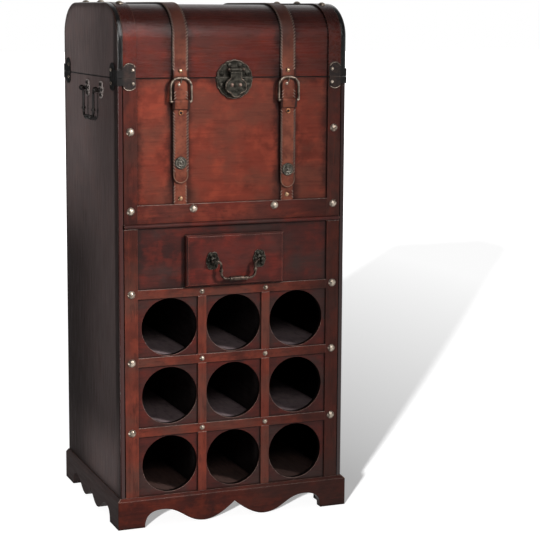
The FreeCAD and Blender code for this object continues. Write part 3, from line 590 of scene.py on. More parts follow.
def panel_edges(finish):
    """1 on the edges of a side panel, which look to the front, up or back."""
    facing = finish.math("ABSOLUTE", finish.dot(finish.own(finish.normal()), X_AXIS))
    return finish.remap(facing, 0.4, 0.9, 1.0, 0.0)


def side_shade(finish):
    """Painted shade on the sides: strong low down at the back, weak at the front of the foot where the floor
    would light it; black at the edges.
    """
    _, depth, height = finish.axes()
    above = finish.remap(depth, *SIDE_DEPTH, 0.72, 0.22)
    below = finish.remap(depth, *SIDE_DEPTH, 0.7, 1.0)
    foot = finish.remap(height, *FOOT_Z, finish.remap(depth, *FOOT_DEPTH, 0.0, 0.8), 1.0)
    body = finish.math("MULTIPLY", finish.remap(height, *SIDE_Z, below, above), foot)
    off_seam = finish.remap(finish.apart(height, SEAM_Z), *BLACK_EDGE_SEAM)
    black = finish.math("MULTIPLY", finish.edges(BLACK_EDGE, 0.01, 0.12), off_seam)
    band = finish.remap(depth, *FRONT_BAND_Y, finish.remap(height, *FRONT_BAND_Z, 0.3, 1.0), 0.0)
    return finish.math("MAXIMUM", body, finish.math("MAXIMUM", black, band))


def stile_shade(finish):
    """Darkening of the stiles: painted shade on the right, and darker beside the drawer."""
    return finish.math("MAXIMUM", right_shade(finish), drawer_shade(finish))


def even_shade(finish):
    """The same dark stain everywhere."""
    return EVEN_STAIN


# Leather, thread and metal

# top is painted shade over the top of the lid; the grime colour is dirt and painted shade beside raised parts
LEATHER = palette(
    dark=(94, 47, 36), light=(144, 82, 63), crease=(66, 34, 26), top=(52, 28, 22),
    edge=(36, 22, 19), grime=(40, 24, 20),
)
LEATHER_CLOUD = (30.0, 4.0, 0.6)
LEATHER_CREASE = (160.0, 4.0, 0.65)
LEATHER_PEBBLES = 900.0
LEATHER_DEPTH = 0.3 * MM
LEATHER_SOFT = 0.4 * MM
LEATHER_TOP_SHADE_Z = (SEAM_Z + 9 * MM, SEAM_Z + 99 * MM)
LEATHER_EDGE = (-4.4 * MM, -1.4 * MM)
LEATHER_GRIME_SHADE = (4 * MM, 0.7)
TARNISH = (140.0, 5.0, 0.6)
METAL_SPOTS = (700.0, 3.0, 0.6)
METAL_GRIME = (3 * MM, 0.8)
METAL_EDGE = 0.9 * MM
METAL_SOFT = 0.5 * MM
PIT_DEPTH = 0.25 * MM
FIBRE = (1500.0, 3.0, 0.6)
FIBRE_DEPTH = 0.1 * MM
# Painted shade on the thread over the lid, and where the thread is darker low down
THREAD_TOP_SHADE_Z = (SEAM_Z + 49 * MM, SEAM_Z + 104 * MM)
THREAD_LOW_Z = (SEAM_Z - 21 * MM, SEAM_Z + 9 * MM)
THREAD_TOP_SHADE = srgb(54, 34, 28)
THREAD_LOW_DARK = srgb(64, 38, 29)
CORNER_BLACK = srgb(20, 16, 15)
PLATE_GREY = srgb(112, 104, 101)


def leather(name):
    """Oiled strap leather: pebbled grain, dark burnished edges, darker over the top of the lid as painted
    shade.
    """
    finish = Finish(name)
    cloud = finish.noise(*LEATHER_CLOUD)
    crease = finish.noise(*LEATHER_CREASE)
    settings = {"Vector": finish.place, "Scale": LEATHER_PEBBLES}
    pebbles = finish.node("ShaderNodeTexVoronoi", settings, feature="SMOOTH_F1").outputs["Distance"]
    colour = finish.layers(LEATHER["dark"], (
        (LEATHER["light"], finish.remap(cloud, 0.3, 0.66)),
        (LEATHER["crease"], finish.remap(crease, 0.52, 0.72, 0.0, 0.6)),
        # Painted shade over the top of the lid
        (LEATHER["top"], finish.remap(finish.axes()["Z"], *LEATHER_TOP_SHADE_Z, 0.0, 0.85)),
        (LEATHER["edge"], finish.remap(strap_distance(finish), *LEATHER_EDGE, 0.0, 0.9)),
        (LEATHER["grime"], finish.grime(*LEATHER_GRIME_SHADE)),
    ))
    relief = finish.math("ADD", finish.math("MULTIPLY", pebbles, 0.5), crease)
    finish.set(
        Base_Color=colour,
        Roughness=finish.remap(cloud, 0.3, 0.7, 0.4, 0.58),
        Normal=finish.bump(relief, LEATHER_DEPTH, finish.rounded(LEATHER_SOFT)),
        Specular_IOR_Level=0.28,
    )
    return finish.material


def thread(name, dark, light, low_dark):
    """Waxed thread, darker over the top of the lid as painted shade, and darker low down on the chest."""
    finish = Finish(name)
    fibre = finish.noise(*FIBRE)
    height = finish.axes()["Z"]
    colour = finish.layers(srgb(*dark), (
        (srgb(*light), finish.remap(fibre, 0.35, 0.65)),
        # Painted shade over the top of the lid
        (THREAD_TOP_SHADE, finish.remap(height, *THREAD_TOP_SHADE_Z, 0.0, 0.8)),
        (THREAD_LOW_DARK, finish.remap(height, *THREAD_LOW_Z, low_dark, 0.0)),
    ))
    normal = finish.bump(fibre, FIBRE_DEPTH, finish.rounded(FIBRE_DEPTH))
    finish.set(Base_Color=colour, Roughness=0.6, Normal=normal)
    return finish.material


def metal(name, dark, bright, rub, rough, metallic=1.0, pits=0.6, tint=None):
    """Old metal: tarnish in the hollows, bright edges from handling and as a painted highlight, tinted in
    some places.
    """
    finish = Finish(name)
    dark = srgb(*dark)
    tarnish = finish.noise(*TARNISH)
    spots = finish.noise(*METAL_SPOTS)
    colour = finish.layers(dark, (
        (srgb(*bright), finish.remap(tarnish, 0.36, 0.66)),
        (dark, finish.remap(spots, 0.56, 0.72, 0.0, pits)),
        (dark, finish.grime(*METAL_GRIME)),
        # Pale edges: wear and a painted highlight
        (srgb(*rub), finish.math("MULTIPLY", finish.edges(METAL_EDGE), 0.9)),
    ))
    if tint is not None:
        colour = tint(finish, colour)
    finish.set(
        Base_Color=colour,
        Metallic=metallic,
        Specular_IOR_Level=0.25,
        Roughness=finish.remap(tarnish, 0.3, 0.7, rough, rough + 0.2),
        Normal=finish.bump(spots, PIT_DEPTH * pits, finish.rounded(METAL_SOFT)),
    )
    return finish.material


def black_corner(finish, colour):
    """Plates blackened where they turn the corner of the case."""
    return finish.mix(colour, CORNER_BLACK, finish.remap(finish.across(), INNER_X - 3 * MM, INNER_X + 2 * MM))


def grey_foot(finish, colour):
    """Handle posts with a paler plate against the case."""
    return finish.mix(PLATE_GREY, colour, finish.remap(finish.across(), CASE_X + 2 * MM, CASE_X + 4 * MM))


# What each node wears: its own finish, or else the one that its CAD material names

FINISHES = {
    "front_wood": wood("front_wood", MAROON, ALONG_X, SATIN, inside=behind_face, wash=0.9),
    "strip_wood": wood("strip_wood", STRIP, ALONG_X, SATIN, shade=right_shade),
    "side_wood": wood(
        "side_wood", SIDE_PANEL, ALONG_Z, 0.42, 0.05,
        inside=within_sides, shade=side_shade, edge_wear=0.8, fleck=SIDE_FLECK,
    ),
    "plinth_wood": wood("plinth_wood", PLINTH_RED, ALONG_X, 0.36, soft=BEVEL_SOFT),
    "inner_wood": wood("inner_wood", BLACK_STAIN, ALONG_Y, 0.6),
    "leather": leather("leather"),
    "dark_iron": metal("dark_iron", (36, 35, 32), (70, 67, 61), (164, 155, 142), 0.36, pits=0.4),
    "pewter": metal("pewter", (98, 87, 78), (164, 147, 132), (222, 208, 192), 0.28, pits=0.15),
    "nail_metal": metal("nail_metal", (134, 118, 104), (208, 193, 176), (244, 235, 222), 0.22, 0.7, 0.08),
    "hinge_steel": metal("hinge_steel", (40, 36, 34), (72, 66, 60), (140, 128, 112), 0.4),
}
BLACKENED = ((16, 13, 13), (30, 26, 25), (70, 62, 58), 0.45, 0.3)
OLD_PEWTER = metal("old_pewter", (46, 44, 41), (106, 101, 92), (216, 208, 194), 0.3, pits=0.2)
PLATE_IRON = metal("plate_iron", (34, 25, 23), (62, 48, 43), (136, 118, 106), 0.5, 0.0, 0.4, black_corner)
BLACK_IRON = metal("black_iron", *BLACKENED)
POST_IRON = metal("post_iron", *BLACKENED, tint=grey_foot)
RUBBED_IRON = metal("rubbed_iron", (54, 46, 42), (112, 98, 88), (178, 162, 146), 0.36, pits=0.3)
BRASS = metal("brass", (120, 90, 66), (210, 172, 136), (250, 228, 198), 0.2, pits=0.15)
STUD_METAL = metal("stud_metal", (122, 98, 86), (178, 150, 136), (230, 208, 192), 0.35, 0.5, 0.1)
COPPER = metal("copper", (104, 64, 44), (176, 120, 84), (228, 180, 140), 0.25, pits=0.2)
METALS = [FINISHES[name] for name in ("dark_iron", "pewter", "nail_metal", "hinge_steel")]
METALS += [OLD_PEWTER, PLATE_IRON, BLACK_IRON, POST_IRON, RUBBED_IRON, BRASS, STUD_METAL, COPPER]
THREAD = thread("thread", (146, 118, 102), (206, 182, 166), 0.4)
EDGE_CORD = thread("edge_cord", (104, 72, 57), (166, 130, 110), 0.0)
PLINTH_SIDE = wood("plinth_side_wood", ESPRESSO, ALONG_Y, 0.46, 0.05, shade=even_shade, fleck=SIDE_FLECK)
LID_END_WOOD = wood(
    "lid_end_wood", LID_END, ALONG_Z, 0.36, 0.05,
    inside=within_sides, shade=side_shade, edge_wear=0.6, soft=ARCH_SOFT, fleck=SIDE_FLECK,
)
NODE_FINISHES = {
    "trunk_front": wood(
        "trunk_wood", RED, ALONG_X, 0.32,
        border=panel_border("trunk_front", straps=True), inside=behind_face, fleck=0.14,
    ),
    "lid_shell": wood("lid_wood", LID_RED, ALONG_X, 0.22, 0.28, strap_dirt_and_shadow, under_lid, lid_shade, fleck=0.2),
    "drawer_fascia": wood(
        "fascia_wood", MAROON, ALONG_X, SATIN,
        border=panel_border("drawer_fascia"), inside=behind_face, wash=0.9,
    ),
    # Full wear on the drawer's edges: wear and a painted highlight on the bevel
    "drawer_front": wood(
        "drawer_wood", DRAWER_RED, ALONG_X, SATIN,
        border=panel_border("drawer_front"), edge_wear=1.0, soft=BEVEL_SOFT,
    ),
    "trunk_stiles": wood("trunk_stile_wood", TRUNK_STRIP, ALONG_Z, SATIN),
    "trunk_bottom_rail": wood("bottom_rail_wood", BOTTOM_RAIL, ALONG_X, SATIN, shade=right_shade),
    "waist_moulding": wood("moulding_wood", MAROON, ALONG_X, SATIN),
    "rack_stiles": wood("rack_stile_wood", STRIP, ALONG_Z, SATIN, shade=stile_shade),
    "rack_battens": wood("batten_wood", BATTEN, ALONG_Z, SATIN),
    "lid_strips": wood("lid_strip_wood", LID_RED, ALONG_Y, 0.22, 0.28, shade=lid_shade),
    "rack_shelves": wood("shelf_wood", SHELF_GREY, ALONG_Y, 0.6),
    "rack_floor": wood("rack_floor_wood", FLOOR_BROWN, ALONG_Y, 0.6),
    "plinth_back": wood("plinth_back_wood", ESPRESSO, ALONG_X, 0.5, 0.08, shade=even_shade, fleck=SIDE_FLECK),
    "back_panel": wood("back_wood", ESPRESSO, ALONG_Z, 0.55, 0.06, shade=even_shade, fleck=SIDE_FLECK),
    "side_handle_posts": POST_IRON,
    "hasp_studs": STUD_METAL,
}
for names, shared in (
    (("lid_left_end", "lid_right_end"), LID_END_WOOD),
    (("plinth_left", "plinth_right"), PLINTH_SIDE),
    (("body_corner_plates", "lid_corner_plates"), PLATE_IRON),
    (("left_bail", "right_bail"), BLACK_IRON),
    (("drawer_bail", "hasp_pin"), RUBBED_IRON),
    (("left_concho", "right_concho"), OLD_PEWTER),
):
    NODE_FINISHES.update(dict.fromkeys(names, shared))


def dress_frame():
    """Give every carried node its finish."""
    for name, node in frame["nodes"].items():
        slot = node.material_slots[0]
        finish = NODE_FINISHES.get(name) or FINISHES[slot.material.name.split(".")[0]]
        slot.link = "OBJECT"
        slot.material = finish


# Meshes

def turns(sides):
    """Angles round a full turn."""
    return [2 * math.pi * step / sides for step in range(sides)]


class Shape:
    """Points and faces of a piece that is being made; each form that is added gives the shape back."""

    def __init__(self):
        self.points = []
        self.faces = []

    def loft(self, rings, closed=False):
        """Skin over rings of points, capped at both ends or joined end to end."""
        first = len(self.points)
        count = len(rings[0])
        for ring in rings:
            self.points += ring
        pairs = list(zip(range(len(rings)), range(1, len(rings))))
        if closed:
            pairs.append((len(rings) - 1, 0))
        for a, b in pairs:
            for i in range(count):
                j = (i + 1) % count
                corners = (a * count + i, a * count + j, b * count + j, b * count + i)
                self.faces.append([first + corner for corner in corners])
        if not closed:
            last = first + (len(rings) - 1) * count
            self.faces.append([first + i for i in reversed(range(count))])
            self.faces.append([last + i for i in range(count)])
        return self

    def tube(self, path, radius, sides=8, closed=False, taper=1.0):
        """Round cord along points; taper is the radius of the ends against the middle."""
        rings = []
        across = None
        for i, point in enumerate(path):
            before = path[i - 1] if closed or i else path[0]
            after = path[(i + 1) % len(path)] if closed or i + 1 < len(path) else path[-1]
            along = (after - before).normalized()
            if across is None:
                across = along.orthogonal().normalized()
            across = (across - along * across.dot(along)).normalized()
            other = along.cross(across)
            size = radius * (taper if not closed and i in (0, len(path) - 1) else 1.0)
            offsets = [across * math.cos(angle) + other * math.sin(angle) for angle in turns(sides)]
            rings.append([point + offset * size for offset in offsets])
        return self.loft(rings, closed)

    def lathe(self, profile, place, axis, scale=(1, 1), across=None, sides=20):
        """Turned form: pairs of radius and height on an axis, with the two radial directions scaled."""
        across = across or axis.orthogonal().normalized()
        side = across * scale[0]
        other = axis.cross(across) * scale[1]
        offsets = [side * math.cos(angle) + other * math.sin(angle) for angle in turns(sides)]
        rings = []
        for radius, height in profile:
            rings.append([place + offset * radius + axis * height for offset in offsets])
        return self.loft(rings)

    def dome(self, size, place, axis):
        """Round nail head with a small rim."""
        radius, height = size
        profile = [(radius, -DOME_SUNK * height), (radius, DOME_RIM * height)]
        for angle in map(math.radians, DOME_ANGLES):
            rise = DOME_RIM + (1 - DOME_RIM) * math.cos(angle)
            profile.append((radius * DOME_WIDTH * math.sin(angle), height * rise))
        return self.lathe(profile, place, axis)

    def leaf(self, place, axis, along, size):
        """Low leaf-shaped swelling: half length, half width and height."""
        length, width, height = size
        profile = [(math.sin(angle), height * math.cos(angle)) for angle in map(math.radians, LEAF_ANGLES)]
        return self.lathe(profile, place, axis, (length, width), along, 12)

    def piece(self, name, slot, body=None, finish=None):
        """The finished object, riding on a body where one is given, in the slot's finish or its own."""
        mesh = bpy.data.meshes.new(name)
        mesh.from_pydata(self.points, [], self.faces)
        mesh.materials.append(finish or FINISHES[slot])
        mesh.shade_smooth()
        mesh.set_sharp_from_angle(angle=SHARP_ANGLE)
        made = bpy.data.objects.new(name, mesh)
        bpy.context.scene.collection.objects.link(made)
        if body:
            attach(made, body)
        return made


# Straps; a station is a point on the back of the leather and the direction away from the wood

def ease(value, low, high):
    """0 before low, 1 after high, smooth between."""
    share = min(max((value - low) / (high - low), 0.0), 1.0)
    return share * share * (3 - 2 * share)


def spread(start, end, step):
    """Values from start up to but without end, about a step apart."""
    count = max(1, round(abs(end - start) / step))
    return [start + (end - start) * i / count for i in range(count)]


def front_stations(y, heights):
    """Stations that face the front, one at each height."""
    return [(Vector((0, y, z)), FRONT) for z in heights]


def lid_stations():
    """Stations from the back of the lid over the top and down the front wall."""
    low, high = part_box("lid_shell")
    middle = (low.y + high.y) / 2
    flat = (high.y - low.y) / 2 - LID_SHOULDER_DEPTH
    spring = low.z + LID_WALL
    rise = high.z - spring

    def shoulder(side):
        """Elliptic shoulder at the back (1) or the front (-1), from the wall up."""
        stations = []
        for angle in map(math.radians, range(0, 90, 5)):
            y = middle + side * (flat + LID_SHOULDER_DEPTH * math.cos(angle))
            out = Vector((0, side * math.cos(angle) / LID_SHOULDER_DEPTH, math.sin(angle) / rise))
            stations.append((Vector((0, y, spring + rise * math.sin(angle))), out.normalized()))
        return stations

    back_z = spread(STRAP_LOW.z, spring, 2 * STRAP_STEP)
    top_y = spread(middle + flat, middle - flat, 3 * STRAP_STEP) + [middle - flat]
    front_z = spread(spring, HANG_TOP_Z, 2 * STRAP_STEP)[1:]
    stations = [(Vector((0, high.y, z)), -FRONT) for z in back_z] + shoulder(1)
    stations += [(Vector((0, y, high.z)), UP) for y in top_y] + shoulder(-1)[::-1]
    return stations + front_stations(low.y, front_z)


def stand_off(z, lift):
    """Distance of the strap's back from the front face at one height."""
    return lift * ease(-z, -HANG_TOP_Z, -HANG_LOW_Z)


def hang_stations(tip_z, lift):
    """Stations of the hanging end, which stands off the chest by lift."""
    heights = spread(HANG_TOP_Z, BEND_Z[0], 2 * BEND_STEP) + spread(BEND_Z[0], BEND_Z[1], BEND_STEP)
    heights += spread(BEND_Z[1], tip_z, STRAP_STEP)
    return [(Vector((0, FACE_Y - stand_off(z, lift), z)), FRONT) for z in heights]


def strap_ring(centre_x, station, half, thick, ratio=1.0):
    """Section of a strap: flat below, soft edges, a little fuller in the middle."""
    point, out = station
    soft = thick / half
    right_half = [(0.4, 1.05), (1 - soft, 1), (1 - 0.3 * soft, 0.86), (1, 0.5), (1, 0)]
    outline = [(-across, rise) for across, rise in reversed(right_half)] + right_half
    sway = STRAP_SWAY * noise.noise(point * SWAY_PACE + X_AXIS * centre_x * SWAY_APART)
    middle = point + X_AXIS * (centre_x + sway)
    return [middle + X_AXIS * across * half * ratio + out * rise * thick for across, rise in outline]


def tip_rings(centre_x, tip_z, start_z, y, half, thick):
    """Half-round end of a strip, from start_z to tip_z."""
    rings = []
    for angle in map(math.radians, range(8, 90, 9)):
        z = start_z + (tip_z - start_z) * math.sin(angle)
        rings.append(strap_ring(centre_x, (Vector((0, y, z)), FRONT), half, thick, math.cos(angle)))
    return rings


def stitches(shape, centre_x, stations, half, thick):
    """Slanted stitches over both edges of a strap, along its stations."""
    for side in (-1, 1):
        travelled = 0.0
        due = STITCH_STEP
        for (start, out), (end, _) in zip(stations, stations[1:]):
            run = (end - start).length
            along = (end - start).normalized()
            while due <= travelled + run:
                middle = start.lerp(end, (due - travelled) / run) + X_AXIS * centre_x
                path = []
                for reach, rise, lean in STITCH_POINTS:
                    across = side * (half + reach * STITCH_REACH)
                    path.append(middle + X_AXIS * across + out * rise * thick + along * lean * STITCH_LEAN)
                shape.tube(path, STITCH_RADIUS, 6, taper=0.6)
                due += STITCH_STEP
            travelled += run
    return shape


def strap(name, centre_x):
    """Leather strap over the lid with its hanging end, tongue, fold, stitches and fasteners."""
    half = STRAP_WIDTH / 2
    tab = f"{name}_tab"
    tip_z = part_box(f"{name}_strap_tab")[0].z
    turn_z = tip_z + half
    lift = FACE_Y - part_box(f"{name}_concho")[1].y - STRAP_THICK
    hang_y = FACE_Y - lift
    front_y = hang_y - STRAP_THICK
    run = lid_stations() + hang_stations(turn_z, lift)

    rings = [strap_ring(centre_x, station, half, STRAP_THICK) for station in run]
    rings += tip_rings(centre_x, tip_z, turn_z, hang_y, half, STRAP_THICK)
    made = Shape().loft(rings).piece(f"{name}_strap", "leather")
    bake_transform(made)
    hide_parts(f"{name}_lid_strap", f"{name}_strap_tab")

    seams = Shape()
    above = [s for s in run if s[0].y > 0 or s[0].z > BEND_Z[0] + STITCH_STEP]
    below = [s for s in run if turn_z + STRAP_STEP < s[0].z < KEEPER_Z[0]]
    for part in (above, below):
        stitches(seams, centre_x, part, half, STRAP_THICK)
    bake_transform(seams.piece(f"{name}_strap_stitches", "leather", finish=THREAD))

    tongue(name, centre_x, front_y)
    fold = Shape().loft(fold_rings(centre_x, front_y))
    fold.piece(f"{name}_fold", "leather", tab)
    tab_border(name, Vector((centre_x, front_y, turn_z)))
    strap_fasteners(name, centre_x, front_y, lift)


def tongue(name, centre_x, front_y):
    """Round-ended strip that comes up through the buckle, with its stitches."""
    tab = f"{name}_tab"
    start_z, tip_z = TONGUE_Z
    turn_z = tip_z - TONGUE_HALF
    run = front_stations(front_y, spread(start_z, turn_z, TONGUE_STEP))
    rings = [strap_ring(centre_x, station, TONGUE_HALF, TONGUE_THICK) for station in run]
    rings += tip_rings(centre_x, tip_z, turn_z, front_y, TONGUE_HALF, TONGUE_THICK)
    Shape().loft(rings).piece(f"{name}_tongue", "leather", tab)
    clear_of_fold = run[3:]
    seams = stitches(Shape(), centre_x, clear_of_fold, TONGUE_HALF, TONGUE_THICK)
    seams.piece(f"{name}_tongue_stitches", "leather", tab, THREAD)


def fold_rings(centre_x, front_y):
    """Turned-back flap over the buckle bar: swollen at the bar, crisp at its lower edge."""
    low, high = KEEPER_Z
    rings = []
    for across, size in FOLD_ACROSS:
        x = centre_x + across * KEEPER_HALF
        profile = [(high - share * (high - low), depth * size) for share, depth in FOLD_PROFILE]
        rings.append([Vector((x, front_y - depth, z)) for z, depth in profile])
    return rings


def tab_border(name, place):
    """Cord along the round tip of the hanging end."""
    edge = STRAP_WIDTH / 2 - TAB_BORDER_INSET
    sweep = [Vector((-edge, 0, TAB_BORDER_RISE))]
    for angle in map(math.radians, range(0, 181, 12)):
        sweep.append(Vector((-edge * math.cos(angle), 0, -edge * math.sin(angle))))
    sweep.append(Vector((edge, 0, TAB_BORDER_RISE)))
    border = Shape().tube([place + point for point in sweep], TAB_BORDER, 8, taper=0.5)
    border.piece(f"{name}_tab_border", "leather", f"{name}_tab", EDGE_CORD)


def strap_fasteners(name, centre_x, front_y, lift):
    """Nail on the lid strap; rivet, prong and eyelet on the hanging end."""
    tab = f"{name}_tab"
    nail = Vector((centre_x, FACE_Y - stand_off(STRAP_NAIL_Z, lift) - STRAP_THICK, STRAP_NAIL_Z))
    Shape().dome(STRAP_NAIL, nail, FRONT).piece(f"{name}_strap_nail", "nail_metal", "lid", BRASS)
    tongue_y = front_y - TONGUE_THICK
    rivet = Shape().dome(TONGUE_NAIL, Vector((centre_x - TONGUE_NAIL_DRIFT, tongue_y, TONGUE_NAIL_Z)), FRONT)
    rivet.piece(f"{name}_tongue_rivet", "nail_metal", tab)
    buckle_low, buckle_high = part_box(f"{name}_buckle")
    top = Vector((centre_x, buckle_low.y - PRONG_TOP[0], buckle_high.z - PRONG_TOP[1]))
    foot = Vector((centre_x, tongue_y - PRONG_FOOT[0], TONGUE_Z[1] - PRONG_FOOT[1]))
    prong = Shape().tube([foot, foot.lerp(top, 0.5) + FRONT * PRONG_SWELL, top], PRONG_RADIUS, 10, taper=0.8)
    prong.piece(f"{name}_buckle_prong", "pewter", tab)
    eyelet = Vector((centre_x, front_y, EYELET_Z))
    Shape().lathe(EYELET, eyelet, FRONT).piece(f"{name}_eyelet", "nail_metal", tab, COPPER)
    # A dark disc in the eyelet is painted shade standing for the hole
    shade_disc = Shape().lathe(EYELET_SHADE_DISC, eyelet, FRONT)
    shade_disc.piece(f"{name}_eyelet_shade_disc", "leather", tab, FINISHES["inner_wood"])


def lower_straps():
    """Fixed lower lengths of the straps, nailed to the chest under the hanging ends."""
    low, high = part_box("lower_straps")
    half = high.x - STRAP_X
    run = front_stations(FACE_Y, spread(low.z, high.z, STRAP_STEP))
    for name, centre_x in (("left", -STRAP_X), ("right", STRAP_X)):
        band = Shape().loft([strap_ring(centre_x, station, half, LOWER_THICK) for station in run])
        made = band.piece(f"{name}_lower_strap", "leather", "cabinet")
        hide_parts("lower_straps")
        shown = [s for s in run if s[0].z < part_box(f"{name}_strap_tab")[0].z]
        seams = stitches(Shape(), centre_x, shown, half, LOWER_STITCH_THICK)
        seams.piece(f"{name}_lower_stitches", "leather", "cabinet", THREAD)
        nail = Shape().dome(STRAP_NAIL, Vector((centre_x, FACE_Y - STRAP_THICK, LOWER_NAIL_Z)), FRONT)
        nail.piece(f"{name}_lower_nail", "nail_metal", "cabinet", BRASS)


# Hardware relief and fasteners

def face_outlines(node, depth):
    """Borders of the flat faces of a node at one depth, each in order."""
    mesh = frame["nodes"][node].data
    borders = set()
    for polygon in mesh.polygons:
        corners = [mesh.vertices[i].co for i in polygon.vertices]
        if all(abs(corner.y - depth) < CORNER_GRAIN for corner in corners):
            keys = [(round(c.x / CORNER_GRAIN), round(c.z / CORNER_GRAIN)) for c in corners]
            borders.update(zip(keys, keys[1:] + keys[:1]))
    follows = {a: b for a, b in borders if (b, a) not in borders}
    loops = []
    while follows:
        start, step = follows.popitem()
        loop = [start]
        while step != start and step in follows:
            loop.append(step)
            step = follows.pop(step)
        loops.append([Vector((x * CORNER_GRAIN, depth, z * CORNER_GRAIN)) for x, z in loop])
    return [loop for loop in loops if len(loop) >= LEAST_CORNERS]


def inset_loop(loop, inset):
    """The same closed loop drawn in towards its inside."""
    drawn = []
    area = sum(a.x * b.z - b.x * a.z for a, b in zip(loop, loop[1:] + loop[:1]))
    sign = 1 if area > 0 else -1
    for before, point, after in zip(loop[-1:] + loop[:-1], loop, loop[1:] + loop[:1]):
        along = (after - before).normalized()
        drawn.append(point + Vector((-along.z, 0, along.x)) * inset * sign)
    return drawn


def rim(name, node, depth, body, keep, bead=PLATE_BEAD, finish=RUBBED_IRON):
    """Raised bead along the borders of a plate, only where keep says so."""
    shape = Shape()
    for outline in face_outlines(node, depth):
        loop = inset_loop(outline, BEAD_INSET * bead)
        kept = [i for i, point in enumerate(loop) if keep(point)]
        # An open bead starts after the gap in the kept points
        gap = next((k for k in range(len(kept)) if kept[k] - kept[k - 1] not in (1, 1 - len(loop))), 0)
        order = kept[gap:] + kept[:gap]
        if len(order) > 2:
            shape.tube([loop[i] for i in order], bead, 8, closed=len(kept) == len(loop), taper=0.6)
    shape.piece(name, "dark_iron", body, finish)


def latch_relief():
    """Beads and leaves on both halves of the latch plate and round the flap."""
    low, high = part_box("latch_lower_plate")
    pin_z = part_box("hasp_pin")[0].z
    flap_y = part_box("hasp_studs")[1].y
    rim("latch_upper_rim", "latch_upper_plate", low.y, "lid", lambda point: point.z > SEAM_Z + SEAM_CLEAR)
    rim("latch_lower_rim", "latch_lower_plate", low.y, "cabinet", lambda point: point.z < SEAM_Z - SEAM_CLEAR)
    rim("hasp_rim", "hasp_flap", flap_y, "hasp", lambda point: point.z < pin_z - HASP_CLEAR)
    radius = (high.x - low.x) / 2
    centre = Vector((0, low.y, low.z + radius))
    halves = {"lid": Shape(), "cabinet": Shape()}
    for i in range(LATCH_LEAVES):
        angle = 2 * math.pi * (i + 0.5) / LATCH_LEAVES
        along = Vector((math.cos(angle), 0, math.sin(angle)))
        place = centre + along * LATCH_LEAF_RING * radius
        body = "lid" if place.z > SEAM_Z else "cabinet"
        halves[body].leaf(place, FRONT, along, LATCH_LEAF)
    for body, shape in halves.items():
        shape.piece(f"latch_leaves_{body}", "dark_iron", body)


def corner_rims():
    """Beads along the round lobes on the front legs of the corner plates."""
    for node, body in (("lid_corner_plates", "lid"), ("body_corner_plates", "cabinet")):
        low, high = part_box(node)
        shoulder = CORNER_SHOULDER * (high.z - low.z)

        def on_lobe(point):
            return abs(point.z - SEAM_Z) > shoulder

        rim(f"{node}_rim", node, low.y, body, on_lobe, CORNER_BEAD, FINISHES["pewter"])


def rosettes():
    """Leaves round the posts of the three handles."""
    low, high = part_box("drawer_handle_posts")
    drawer = Shape()
    plate_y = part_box("drawer_front")[0].y - ROSETTE_PLATE
    for x in (low.x + POST_INSET, high.x - POST_INSET):
        rosette(drawer, Vector((x, plate_y, (low.z + high.z) / 2)), FRONT)
    drawer.piece("drawer_rosette_leaves", "dark_iron", "drawer")
    low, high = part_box("side_handle_posts")
    sides = Shape()
    for out in (X_AXIS, -X_AXIS):
        for y in (low.y + POST_INSET, high.y - POST_INSET):
            rosette(sides, Vector((out.x * (CASE_X + ROSETTE_PLATE), y, (low.z + high.z) / 2)), out)
    sides.piece("side_rosette_leaves", "dark_iron", "cabinet", POST_IRON)


def rosette(shape, place, out):
    """Ring of leaves, taller than it is wide."""
    across = UP.cross(out)
    wide, tall = ROSETTE_REACH
    for angle in turns(ROSETTE_LEAVES):
        reach = across * math.cos(angle) * wide + UP * math.sin(angle) * tall
        shape.leaf(place + reach, out, reach.normalized(), ROSETTE_LEAF)


def plate_nails():
    """Nails through the corner plates, on the front, the sides and at the back."""
    low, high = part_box("lid_corner_plates")
    for name, body in (("lid", "lid"), ("body", "cabinet")):
        z = PLATE_NAIL_Z[name]
        shape = Shape()
        for side in (-1, 1):
            shape.dome(PLATE_NAIL, Vector((side * PLATE_NAIL_X, low.y, z)), FRONT)
            for y in (low.y + PLATE_NAIL_INSET, high.y - PLATE_NAIL_INSET):
                shape.dome(PLATE_NAIL, Vector((side * high.x, y, z)), X_AXIS * side)
        shape.piece(f"{name}_plate_nails", "nail_metal", body)


def hinge_screws():
    """Screw heads on the leaves of the back hinges."""
    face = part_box("back_panel")[1].y + HINGE_LEAF_THICK
    for node, body in (("hinge_body_leaves", "cabinet"), ("hinge_lid_leaves", "lid")):
        low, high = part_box(node)
        far_z = high.z if body == "lid" else low.z
        inward = -1 if body == "lid" else 1
        shape = Shape()
        for side in (-1, 1):
            centre = side * (high.x - HINGE_HALF)
            for across, up in SCREW_PLACES:
                shape.dome(SCREW_HEAD, Vector((centre + across, face, far_z + inward * up)), -FRONT)
        shape.piece(f"{node}_screws", "hinge_steel", body)


# Stage

